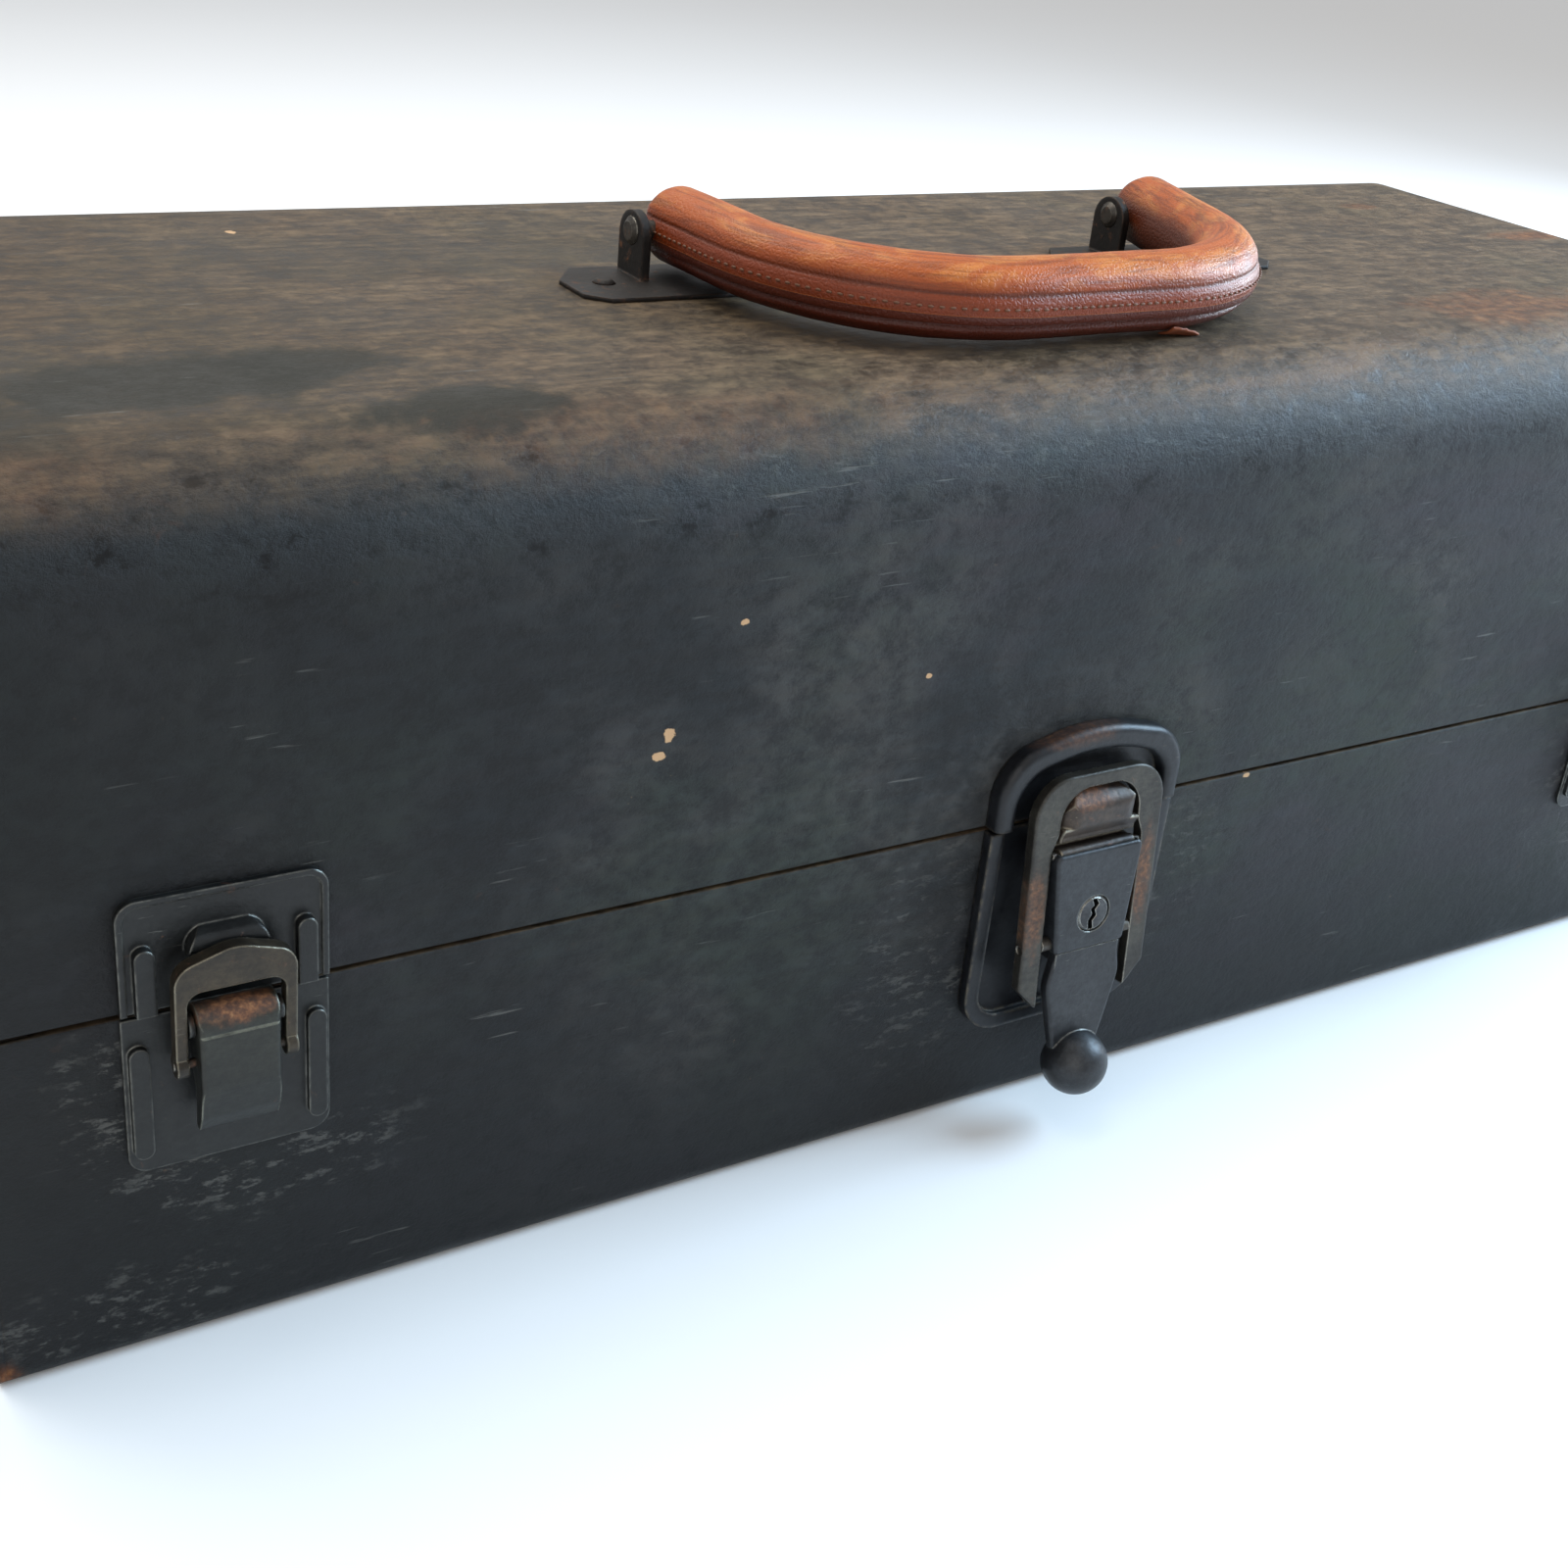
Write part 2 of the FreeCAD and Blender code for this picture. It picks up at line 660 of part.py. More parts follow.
def case_corners(inset, top, low):
    # front view of the tapering case, relative to its pivot
    return [(-case_half_low + inset, low, 1.2), (case_half_low - inset, low, 1.2),
            (case_half_top - inset, top, 1.6), (-case_half_top + inset, top, 1.6)]


def make_lock_case():
    top = case_z + 0.7
    low = case_z - case_height
    face = case_y - case_front
    back = case_y + 2.6
    shell = prism_y(case_corners(0, top, low), face, back)
    front_edges = [e for e in shell.Edges if abs(e.BoundBox.YMin - face) < 1e-3 and e.BoundBox.YLength < 1e-3]
    shell = shell.makeFillet(0.9, front_edges)
    hollow = prism_y(case_corners(case_wall, top + 3, low + case_wall), face + case_skin, back + 1)
    shell = shell.cut(hollow)
    keep_round = prism_x([(face - 1, low - 1, 0), (back, low - 1, 0), (back, case_z + 0.9, 3.2),
                          (face - 1, case_z + 0.9, 0)], -30, 30)
    shell = shell.common(keep_round)
    shell = shell.cut(rod_y(face - 1, face + 4, 0, case_z - plug_low, plug_r + 0.25))
    shell = leaned(shell)
    shell = shell.cut(rod_x(-20, 20, case_y, case_z, 0.8))
    return cut_ring_axle(shell).removeSplitter()


def ring_axis():
    # ring pivot: near the lower end of the case, a little behind its face
    lean = math.radians(case_lean)
    along = case_height - 2.2
    out = case_front - 3.0
    y = case_y - along * math.sin(lean) - out * math.cos(lean)
    z = case_z - along * math.cos(lean) + out * math.sin(lean)
    return y, z


def cut_ring_axle(shape):
    y, z = ring_axis()
    return shape.cut(rod_x(-30, 30, y, z, ring_pivot_r))


def make_lock_cylinder():
    # brass barrel block held inside the case
    face = case_y - case_front
    top = case_z - plug_low + 7.4
    low = case_z - plug_low - 6.2
    half = 8.4
    barrel = block(-half, half, face + case_wall, case_y + 2.4, low, top)
    barrel = barrel.cut(rod_y(face - 1, case_y + 9, 0, case_z - plug_low, plug_r + run))
    return cut_ring_axle(leaned(barrel)).removeSplitter()


def make_lock_plug():
    face = case_y - case_front
    z = case_z - plug_low
    plug = rod_y(face, face + plug_depth, 0, z, plug_r)
    rim = rod_y(face - 0.01, face + 0.35, 0, z, plug_r + 1)
    rim = rim.cut(rod_y(face - 1, face + 1, 0, z, plug_r - 0.45))
    plug = plug.cut(rim)
    r = plug_r
    keyway = prism_y([(0.5, z + r * 0.86, 0), (1.5, z + r * 0.5, 0), (0.4, z + r * 0.2, 0),
                      (1.0, z - r * 0.16, 0), (-0.1, z - r * 0.42, 0), (0.4, z - r * 0.95, 0),
                      (-1.1, z - r * 0.95, 0), (-1.5, z - r * 0.36, 0), (-0.5, z - r * 0.02, 0),
                      (-1.0, z + r * 0.3, 0), (0.0, z + r * 0.46, 0), (-0.8, z + r * 0.86, 0)],
                     face - 1, face + plug_depth - 2)
    plug = plug.cut(keyway)
    cam = prism_y([(-2.4, z - 2.2, 1), (2.4, z - 2.2, 1), (2.2, z + 7.2, 1.5), (-2.2, z + 7.2, 1.5)],
                  face + plug_depth, face + plug_depth + 1.4)
    return leaned(plug.fuse(cam).removeSplitter())


def make_lever_tail():
    # blade behind the case, stepping out below it into a waisted tail with a ball end for the thumb
    low = case_z - case_height
    face = case_y - case_front
    skin = face + 0.5
    back = skin + 2.6
    rear = case_y + 2.6
    width = 9.7
    tail = prism_y([(-width, low - fit, 0), (width, low - fit, 0), (width, low - 1.0, 0),
                    (width + 1.7, low - 9, 9), (width - 1.4, low - 22, 12), (width - 3.2, low - 29, 0),
                    (-width + 3.2, low - 29, 0), (-width + 1.4, low - 22, 12), (-width - 1.7, low - 9, 9),
                    (-width, low - 1.0, 0)], skin, back)
    edges = [e for e in tail.Edges if abs(e.BoundBox.YMin - skin) < 1e-3 and e.BoundBox.YLength < 1e-3
             and low - 28.5 < e.BoundBox.ZMin and e.BoundBox.ZMax < low - 1.2]
    tail = tail.makeFillet(0.8, edges)
    ball = Part.makeSphere(ball_r, V(0, skin - 0.6, low - tail_length))
    ball = ball.common(block(-20, 20, skin - 20, skin + 4.4, low - 60, low))
    step = block(-width, width, skin + 0.9, rear + 1.5, low - 2.6, low - fit)
    blade = prism_y([(-width, low - 2.6, 0), (width, low - 2.6, 0), (width, case_z - 6.5, 2),
                     (-width, case_z - 6.5, 2)], rear + fit, rear + 1.5)
    blade = blade.cut(rod_y(rear - 1, rear + 3, 0, case_z - plug_low, plug_r + 0.25))
    return leaned(tail.fuse(ball).fuse(step).fuse(blade).removeSplitter())


def make_ring():
    # inverted U plate that hangs on the case's lower axle
    y, z = ring_axis()
    top = seam_height + 13.8
    low = z - 16.4
    half = ring_half
    near = y - ring_thick / 2
    far = y + ring_thick / 2
    ring = prism_y([(-half, low + 6, 0.8), (-half + 5.4, low, 0.8), (half - 5.4, low, 0.8),
                    (half, low + 6, 0.8), (half, top, ring_corner), (-half, top, ring_corner)],
                   near, far)
    edges = [e for e in ring.Edges if abs(e.BoundBox.YMin - near) < 1e-3 and e.BoundBox.YLength < 1e-3]
    ring = ring.makeFillet(0.6, edges)
    # the window clears the case below and narrows to the tongue above
    inner_top = seam_height + tongue_top + 0.9
    wide = case_half_top + 0.6
    ring = ring.cut(prism_y([(-wide, low - 9, 0), (wide, low - 9, 0), (wide, case_z + 1.5, 4),
                             (ring_window, case_z + 6, 4), (ring_window, inner_top, ring_inner_corner),
                             (-ring_window, inner_top, ring_inner_corner), (-ring_window, case_z + 6, 4),
                             (-wide, case_z + 1.5, 4)], near - 1, far + 1))
    ring = ring.cut(rod_x(-30, 30, y, z, 1.0 + run))
    return turned(ring, y, z, -ring_lean())


def ring_lean():
    # the plate leans in from its axle to pass just in front of the keeper
    y, z = ring_axis()
    top = seam_height + 13.8
    target = front(6.2)
    return math.degrees(math.atan2(target - y, top - z))


def make_ring_axle():
    y, z = ring_axis()
    shank = rod_x(-case_half_top - 0.3, case_half_top + 0.3, y, z, ring_pivot_r)
    ends = rod_x(-ring_half + 0.4, ring_half - 0.4, y, z, 1.0)
    return shank.fuse(ends).removeSplitter()


def make_case_pin():
    return rod_x(-case_half_top + 0.1, case_half_top - 0.1, case_y, case_z, 0.8)


# ---- build -------------------------------------------------------------------
def build():
    keep("body_wrap", punch_rivets(make_body_wrap(), "body"))
    end = make_body_end()
    keep("body_end_right", end)
    keep("body_end_left", mirrored(end))
    for side in ("front", "left", "right"):
        keep("dust_lip_" + side, make_lip(side))
    lid = punch_rivets(make_lid_wrap(), "lid")
    for side in (-1, 1):
        for x, y in bracket_rivets(side):
            lid = lid.cut(Part.makeCylinder(rivet_r, 6, V(x, y, box_height - 3)))
    keep("lid_wrap", lid)
    lid_end = make_lid_end()
    keep("lid_end_right", lid_end)
    keep("lid_end_left", mirrored(lid_end))

    pin = rod_x(hinge_x - hinge_width / 2, hinge_x + hinge_width / 2, hinge_y, seam_height, hinge_pin_r)
    for owner in ("body", "lid"):
        leaf = make_hinge_leaf(owner)
        keep("hinge_%s_leaf_right" % owner, leaf)
        keep("hinge_%s_leaf_left" % owner, mirrored(leaf))
        rivets = [make_rivet(x, z) for x, z in rivet_places(owner)]
        rivets = rivets + [mirrored(rivet) for rivet in rivets]
        keep("hinge_rivets_" + owner, Part.makeCompound(rivets))
    keep("hinge_pin_right", pin)
    keep("hinge_pin_left", mirrored(pin))

    keep("handle_core", make_handle_core())
    keep("handle_grip", make_handle_grip())
    for side, word in ((-1, "left"), (1, "right")):
        keep("handle_bracket_" + word, make_handle_bracket(side))
        keep("handle_pin_" + word, make_handle_pin(side))
    keep("handle_rivets", make_bracket_rivets())

    side_latch = {"strike_plate": make_strike_plate(), "latch_base": make_latch_base(),
                  "latch_lever": make_latch_lever(), "latch_bail": make_latch_bail()}
    side_latch["lever_pin"], side_latch["bail_pin"] = make_latch_pins()
    for name, shape in side_latch.items():
        keep(name + "_left", moved(shape, -latch_x, 0, 0))
        keep(name + "_right", moved(shape, latch_x, 0, 0))

    keep("centre_base", make_centre_base())
    keep("arch_keeper", make_arch_keeper())
    keep("tongue_block", make_tongue())
    keep("lock_case", make_lock_case())
    keep("lock_cylinder", make_lock_cylinder())
    keep("lock_plug", make_lock_plug())
    keep("lever_tail", make_lever_tail())
    keep("draw_ring", make_ring())
    keep("ring_axle", make_ring_axle())
    keep("case_pin", make_case_pin())


build()
os.makedirs("parts", exist_ok=True)
for name, shape in parts.items():
    shape.exportStep("parts/%s.step" % name)
print(len(parts), "parts written")
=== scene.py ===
import bpy
import math
from mathutils import Euler, Matrix, Vector
from mathutils.noise import noise as mathNoise


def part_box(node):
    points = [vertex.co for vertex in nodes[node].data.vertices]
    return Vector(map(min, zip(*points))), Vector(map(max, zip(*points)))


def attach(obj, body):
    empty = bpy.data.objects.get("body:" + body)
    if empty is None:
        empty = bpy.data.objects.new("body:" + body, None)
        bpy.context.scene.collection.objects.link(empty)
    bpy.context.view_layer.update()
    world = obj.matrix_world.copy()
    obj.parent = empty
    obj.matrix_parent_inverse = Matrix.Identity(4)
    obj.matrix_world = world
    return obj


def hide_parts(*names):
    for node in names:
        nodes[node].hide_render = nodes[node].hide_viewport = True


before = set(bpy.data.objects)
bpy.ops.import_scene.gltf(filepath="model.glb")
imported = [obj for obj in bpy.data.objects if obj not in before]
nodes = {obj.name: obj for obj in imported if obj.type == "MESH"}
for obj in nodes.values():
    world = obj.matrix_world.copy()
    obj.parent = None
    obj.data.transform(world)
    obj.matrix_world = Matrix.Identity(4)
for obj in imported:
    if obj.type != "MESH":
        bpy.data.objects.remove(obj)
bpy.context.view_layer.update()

# An old steel tool box: dark worn paint, three latches on the front, a stitched leather handle.
print("frame loaded:", len(nodes), "nodes")

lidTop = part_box("lid_wrap")[1].z


# small helpers for meshes
def deselectAll():
    if bpy.context.object and bpy.context.object.mode != "OBJECT":
        bpy.ops.object.mode_set(mode="OBJECT")
    bpy.ops.object.select_all(action="DESELECT")


def takeHold(piece):
    deselectAll()
    piece.select_set(True)
    bpy.context.view_layer.objects.active = piece


def joinPieces(pieces, name):
    deselectAll()
    for piece in pieces:
        piece.select_set(True)
    bpy.context.view_layer.objects.active = pieces[0]
    bpy.ops.object.join()
    joined = bpy.context.object
    joined.name = name
    joined.data.name = name
    return joined


def applyModifier(piece, kind, **values):
    takeHold(piece)
    modifier = piece.modifiers.new(kind.lower(), kind)
    for key, value in values.items():
        setattr(modifier, key, value)
    bpy.ops.object.modifier_apply(modifier=modifier.name)


def smoothByAngle(piece, degrees):
    takeHold(piece)
    bpy.ops.object.shade_smooth_by_angle(angle=math.radians(degrees))


# small helpers for materials
def add(tree, kind, inputs=None, **settings):
    made = tree.nodes.new(kind)
    for key, value in settings.items():
        setattr(made, key, value)
    for key, value in (inputs or {}).items():
        if isinstance(value, bpy.types.NodeSocket):
            tree.links.new(value, made.inputs[key])
        else:
            made.inputs[key].default_value = value
    return made


def calc(tree, how, a, b=0.0, c=0.0, clamp=False):
    return add(tree, "ShaderNodeMath", {0: a, 1: b, 2: c}, operation=how, use_clamp=clamp).outputs[0]


def vectorCalc(tree, how, inputs):
    return add(tree, "ShaderNodeVectorMath", inputs, operation=how).outputs


def noise(tree, vector, scale, detail=4.0, rough=0.55, twist=0.0):
    values = {"Vector": vector, "Scale": scale, "Detail": detail, "Roughness": rough, "Distortion": twist}
    return add(tree, "ShaderNodeTexNoise", values).outputs[0]


def stretched(tree, vector, scale, turn=(0, 0, 0)):
    return add(tree, "ShaderNodeMapping", {"Vector": vector, "Scale": scale, "Rotation": turn}).outputs[0]


def between(tree, value, low, high):
    # 0 at the low value, 1 at the high one, and smooth in between
    values = {0: value, 1: low, 2: high, 3: 0.0, 4: 1.0}
    return add(tree, "ShaderNodeMapRange", values, interpolation_type="SMOOTHSTEP").outputs[0]


def zone(tree, value, rise, fall):
    # a mask that comes in over one stretch of the value and goes out over another
    return calc(tree, "MULTIPLY", between(tree, value, *rise), between(tree, value, *fall))


def mix(tree, amount, a, b, how="MIX"):
    made = add(tree, "ShaderNodeMix", data_type="RGBA", blend_type=how)
    for index, value in ((0, amount), (6, a), (7, b)):
        if isinstance(value, bpy.types.NodeSocket):
            tree.links.new(value, made.inputs[index])
        elif index == 0:
            made.inputs[index].default_value = value
        else:
            made.inputs[index].default_value = (*value, 1)
    return made.outputs[2]


def bumped(tree, strength, depth, height, normal=None):
    values = {"Strength": strength, "Distance": depth, "Height": height}
    if normal is not None:
        values["Normal"] = normal
    return add(tree, "ShaderNodeBump", values).outputs[0]


def ramp(tree, value, stops):
    made = add(tree, "ShaderNodeValToRGB", {0: value})
    points = made.color_ramp.elements
    while len(points) < len(stops):
        points.new(0.5)
    for point, (place, colour) in zip(points, stops):
        point.position = place
        point.color = (*colour, 1)
    return made.outputs[0]


def shade(red, green, blue):
    # a colour named as it looks on a screen, 0 to 255
    parts = (red / 255, green / 255, blue / 255)
    return tuple(((part + 0.055) / 1.055) ** 2.4 if part > 10 / 255 else part / 12.92 for part in parts)


def newGroup(name, inputs, outputs):
    tree = bpy.data.node_groups.new(name, "ShaderNodeTree")
    kinds = {"value": "NodeSocketFloat", "vector": "NodeSocketVector", "colour": "NodeSocketColor"}
    for title, kind, start in inputs:
        socket = tree.interface.new_socket(title, in_out="INPUT", socket_type=kinds[kind])
        if start is not None:
            socket.default_value = start
    for title, kind in outputs:
        tree.interface.new_socket(title, in_out="OUTPUT", socket_type=kinds[kind])
    return tree, tree.nodes.new("NodeGroupInput").outputs, tree.nodes.new("NodeGroupOutput")


def useGroup(tree, group, **inputs):
    made = add(tree, "ShaderNodeGroup", node_tree=group)
    for title, value in inputs.items():
        if isinstance(value, bpy.types.NodeSocket):
            tree.links.new(value, made.inputs[title])
        else:
            made.inputs[title].default_value = value
    return made.outputs


def newMaterial(name):
    material = bpy.data.materials.new(name)
    material.use_nodes = True
    tree = material.node_tree
    tree.nodes.clear()
    shader = add(tree, "ShaderNodeBsdfPrincipled")
    out = add(tree, "ShaderNodeOutputMaterial")
    tree.links.new(shader.outputs[0], out.inputs[0])
    place = add(tree, "ShaderNodeTexCoord").outputs["Object"]
    return material, tree, shader, place


# shared effects
def makeEdgeWear():
    # bright where a convex edge has been rubbed, broken up by noise
    tree, given, out = newGroup(
        "edgeWear",
        [("Vector", "vector", None), ("Radius", "value", 0.001),
         ("Grain", "value", 300.0), ("Amount", "value", 1.0)],
        [("Mask", "value"), ("Normal", "vector")])
    rounded = add(tree, "ShaderNodeBevel", {"Radius": given["Radius"]}, samples=6).outputs[0]
    plain = add(tree, "ShaderNodeNewGeometry").outputs["Normal"]
    near = vectorCalc(tree, "DOT_PRODUCT", {0: rounded, 1: plain})["Value"]
    edge = between(tree, near, 0.995, 0.86)
    rag = noise(tree, given["Vector"], given["Grain"], 5, 0.65)
    level = calc(tree, "ADD", calc(tree, "MULTIPLY", edge, given["Amount"]), rag)
    tree.links.new(between(tree, level, 0.85, 1.25), out.inputs["Mask"])
    tree.links.new(rounded, out.inputs["Normal"])
    return tree


def makePatch():
    # a ragged patch round one point
    tree, given, out = newGroup(
        "raggedPatch",
        [("Vector", "vector", None), ("Centre", "vector", None), ("Extent", "vector", (0.01, 0.01, 0.01)),
         ("Rag", "value", 0.5), ("Grain", "value", 60.0), ("Soft", "value", 0.3)],
        [("Mask", "value")])
    away = vectorCalc(tree, "SUBTRACT", {0: given["Vector"], 1: given["Centre"]})[0]
    scaled = vectorCalc(tree, "DIVIDE", {0: away, 1: given["Extent"]})[0]
    distance = vectorCalc(tree, "LENGTH", {0: scaled})["Value"]
    rag = calc(tree, "SUBTRACT", noise(tree, given["Vector"], given["Grain"], 6, 0.65), 0.5)
    level = calc(tree, "MULTIPLY_ADD", rag, given["Rag"], distance)
    low = calc(tree, "SUBTRACT", 1.0, given["Soft"])
    values = {0: level, 1: low, 2: 1.0, 3: 1.0, 4: 0.0}
    mask = add(tree, "ShaderNodeMapRange", values, interpolation_type="SMOOTHSTEP").outputs[0]
    tree.links.new(mask, out.inputs["Mask"])
    return tree


def makeAgeing():
    # slow mottling, rubbed streaks, fine specks and hairline scratches
    tree, given, out = newGroup(
        "ageing",
        [("Vector", "vector", None), ("Size", "value", 1.0)],
        [(title, "value") for title in ("Mottle", "Streak", "Speck", "Scratch", "Grain", "Stipple")])
    where = vectorCalc(tree, "SCALE", {0: given["Vector"], "Scale": given["Size"]})[0]
    mottle = between(tree, noise(tree, where, 17, 6, 0.6, 0.4), 0.33, 0.68)
    streak = between(tree, noise(tree, stretched(tree, where, (62, 360, 400)), 1, 8, 0.72), 0.28, 0.76)
    speck = between(tree, noise(tree, where, 420, 3, 0.6), 0.70, 0.78)
    few = between(tree, noise(tree, where, 34, 3, 0.5), 0.5, 0.68)
    fine = noise(tree, stretched(tree, where, (45, 500, 640), (0.0, 0.35, 0.12)), 1, 3, 0.6)
    hairs = between(tree, fine, 0.66, 0.73)
    scratch = calc(tree, "MULTIPLY", hairs, between(tree, noise(tree, where, 22, 2), 0.48, 0.62))
    tree.links.new(mottle, out.inputs["Mottle"])
    tree.links.new(streak, out.inputs["Streak"])
    tree.links.new(calc(tree, "MULTIPLY", speck, few), out.inputs["Speck"])
    tree.links.new(scratch, out.inputs["Scratch"])
    tree.links.new(noise(tree, where, 900, 4, 0.6), out.inputs["Grain"])
    stipple = noise(tree, stretched(tree, where, (150, 190, 190)), 1, 8, 0.75)
    tree.links.new(between(tree, stipple, 0.34, 0.66), out.inputs["Stipple"])
    return tree


def makeRust():
    tree, given, out = newGroup(
        "rust",
        [("Vector", "vector", None), ("Size", "value", 1.0), ("Amount", "value", 0.5)],
        [("Colour", "colour"), ("Mask", "value"), ("Height", "value")])
    where = vectorCalc(tree, "SCALE", {0: given["Vector"], "Scale": given["Size"]})[0]
    bloom = noise(tree, where, 90, 7, 0.68, 0.6)
    level = calc(tree, "ADD", bloom, calc(tree, "MULTIPLY", given["Amount"], 0.5))
    tree.links.new(between(tree, level, 0.68, 0.84), out.inputs["Mask"])
    tone = noise(tree, where, 320, 5, 0.65)
    stops = [(0.3, shade(50, 32, 22)), (0.48, shade(92, 56, 34)),
             (0.62, shade(130, 84, 50)), (0.75, shade(160, 118, 78))]
    tree.links.new(ramp(tree, tone, stops), out.inputs["Colour"])
    tree.links.new(tone, out.inputs["Height"])
    return tree


def makeLeatherGrain():
    # pebbled grain with fibres that run along the roll
    tree, given, out = newGroup(
        "leatherGrain",
        [("Vector", "vector", None), ("Roll", "vector", None)],
        [(title, "value") for title in ("Pebble", "Fibre", "Wear", "Stain")])
    values = {"Vector": given["Vector"], "Scale": 900.0, "Randomness": 1.0}
    cells = add(tree, "ShaderNodeTexVoronoi", values, feature="DISTANCE_TO_EDGE").outputs["Distance"]
    tree.links.new(between(tree, cells, 0.0, 0.3), out.inputs["Pebble"])
    patterns = {"Fibre": ((42, 620, 1), 8, 0.68, 0.6), "Stain": ((36, 130, 1), 8, 0.72, 1.2),
                "Wear": ((70, 140, 1), 6, 0.65, 0.8)}
    for title, (scale, detail, rough, twist) in patterns.items():
        pattern = noise(tree, stretched(tree, given["Roll"], scale), 1, detail, rough, twist)
        tree.links.new(pattern, out.inputs[title])
    return tree


edgeWear = makeEdgeWear()
raggedPatch = makePatch()
ageing = makeAgeing()
rustGroup = makeRust()
leatherGrain = makeLeatherGrain()


def patchMask(tree, place, centre, reach, rag, grain, soft):
    values = {"Vector": place, "Centre": centre, "Extent": reach, "Rag": rag, "Grain": grain, "Soft": soft}
    return useGroup(tree, raggedPatch, **values)["Mask"]


# painted shells
paint = {
    "faceDark": shade(15, 15, 16),
    "faceLight": shade(52, 51, 50),
    "faceGreen": shade(29, 35, 29),
    "faceViolet": shade(36, 31, 37),
    "faceBlue": shade(42, 54, 62),
    # the colour of the painted shade on the upright faces
    "faceShade": shade(9, 10, 12),
    # top colours: dust and wear, with a painted sheen in them
    "topDark": shade(54, 44, 34),
    "topLight": shade(98, 82, 64),
    "topOlive": shade(66, 60, 43),
    "topBrown": shade(78, 60, 44),
    "blotch": shade(25, 25, 17),
    "tan": shade(118, 92, 70),
    "chip": shade(186, 150, 112),
    "edge": shade(92, 86, 78),
    "scuffed": shade(112, 112, 108),
    "scuffShare": 0.6,
    "scratchShare": 0.42,
    "speckShare": 0.6,
    "greenShare": 0.8,
    "violetShare": 0.7,
    "blueShare": 0.22,
    "leftShade": 0.85,
    "lowShade": 0.75,
    "rubShare": 0.42,
    "specular": 0.26,
    "blotches": [  # centre and reach in metres, and how strong
        ((-0.200, -0.055, 0.187), (0.042, 0.021, 0.02), 0.95),
        ((-0.172, -0.050, 0.187), (0.022, 0.016, 0.02), 0.9),
        ((-0.151, -0.080, 0.187), (0.026, 0.011, 0.02), 0.95),
        ((-0.245, -0.075, 0.187), (0.030, 0.020, 0.02), 0.6),
        ((-0.120, 0.030, 0.187), (0.080, 0.025, 0.02), 0.35),
    ],
    "rustPatches": [
        ((0.158, -0.066, 0.187), (0.050, 0.022, 0.03), 0.55),
        ((0.250, 0.002, 0.187), (0.030, 0.008, 0.03), 0.7),
        ((0.212, 0.046, 0.187), (0.010, 0.006, 0.02), 0.5),
        ((-0.254, -0.102, 0.003), (0.005, 0.006, 0.006), 0.9),
        ((-0.110, -0.090, 0.185), (0.060, 0.012, 0.02), 0.16),
        ((-0.240, -0.090, 0.187), (0.030, 0.012, 0.02), 0.12),
    ],
    "scuffs": [
        ((-0.224, -0.102, 0.062), (0.022, 0.01, 0.026), 0.7),
        ((-0.200, -0.102, 0.040), (0.040, 0.01, 0.016), 0.55),
        ((0.030, -0.102, 0.060), (0.030, 0.01, 0.030), 0.4),
        ((-0.040, -0.102, 0.050), (0.030, 0.01, 0.040), 0.4),
        ((-0.230, -0.102, 0.012), (0.040, 0.01, 0.014), 0.5),
        ((0.207, -0.102, 0.060), (0.040, 0.01, 0.040), 0.45),
        ((0.000, -0.095, 0.175), (0.20, 0.012, 0.012), 0.3),
    ],
    "chips": [
        ((-0.1143, -0.102, 0.1212), (0.0013, 0.0018, 0.0019)),
        ((-0.1164, -0.102, 0.1166), (0.0018, 0.0018, 0.0010)),
        ((-0.0987, -0.102, 0.1440), (0.0012, 0.0018, 0.0007)),
        ((-0.0500, -0.102, 0.1246), (0.0008, 0.0018, 0.0007)),
        ((0.0557, -0.102, 0.0808), (0.0013, 0.0018, 0.0007)),
        ((-0.1531, 0.0562, 0.187), (0.0013, 0.0016, 0.0012)),
        ((0.0946, -0.0961, 0.185), (0.0013, 0.0018, 0.0024)),
    ],
}


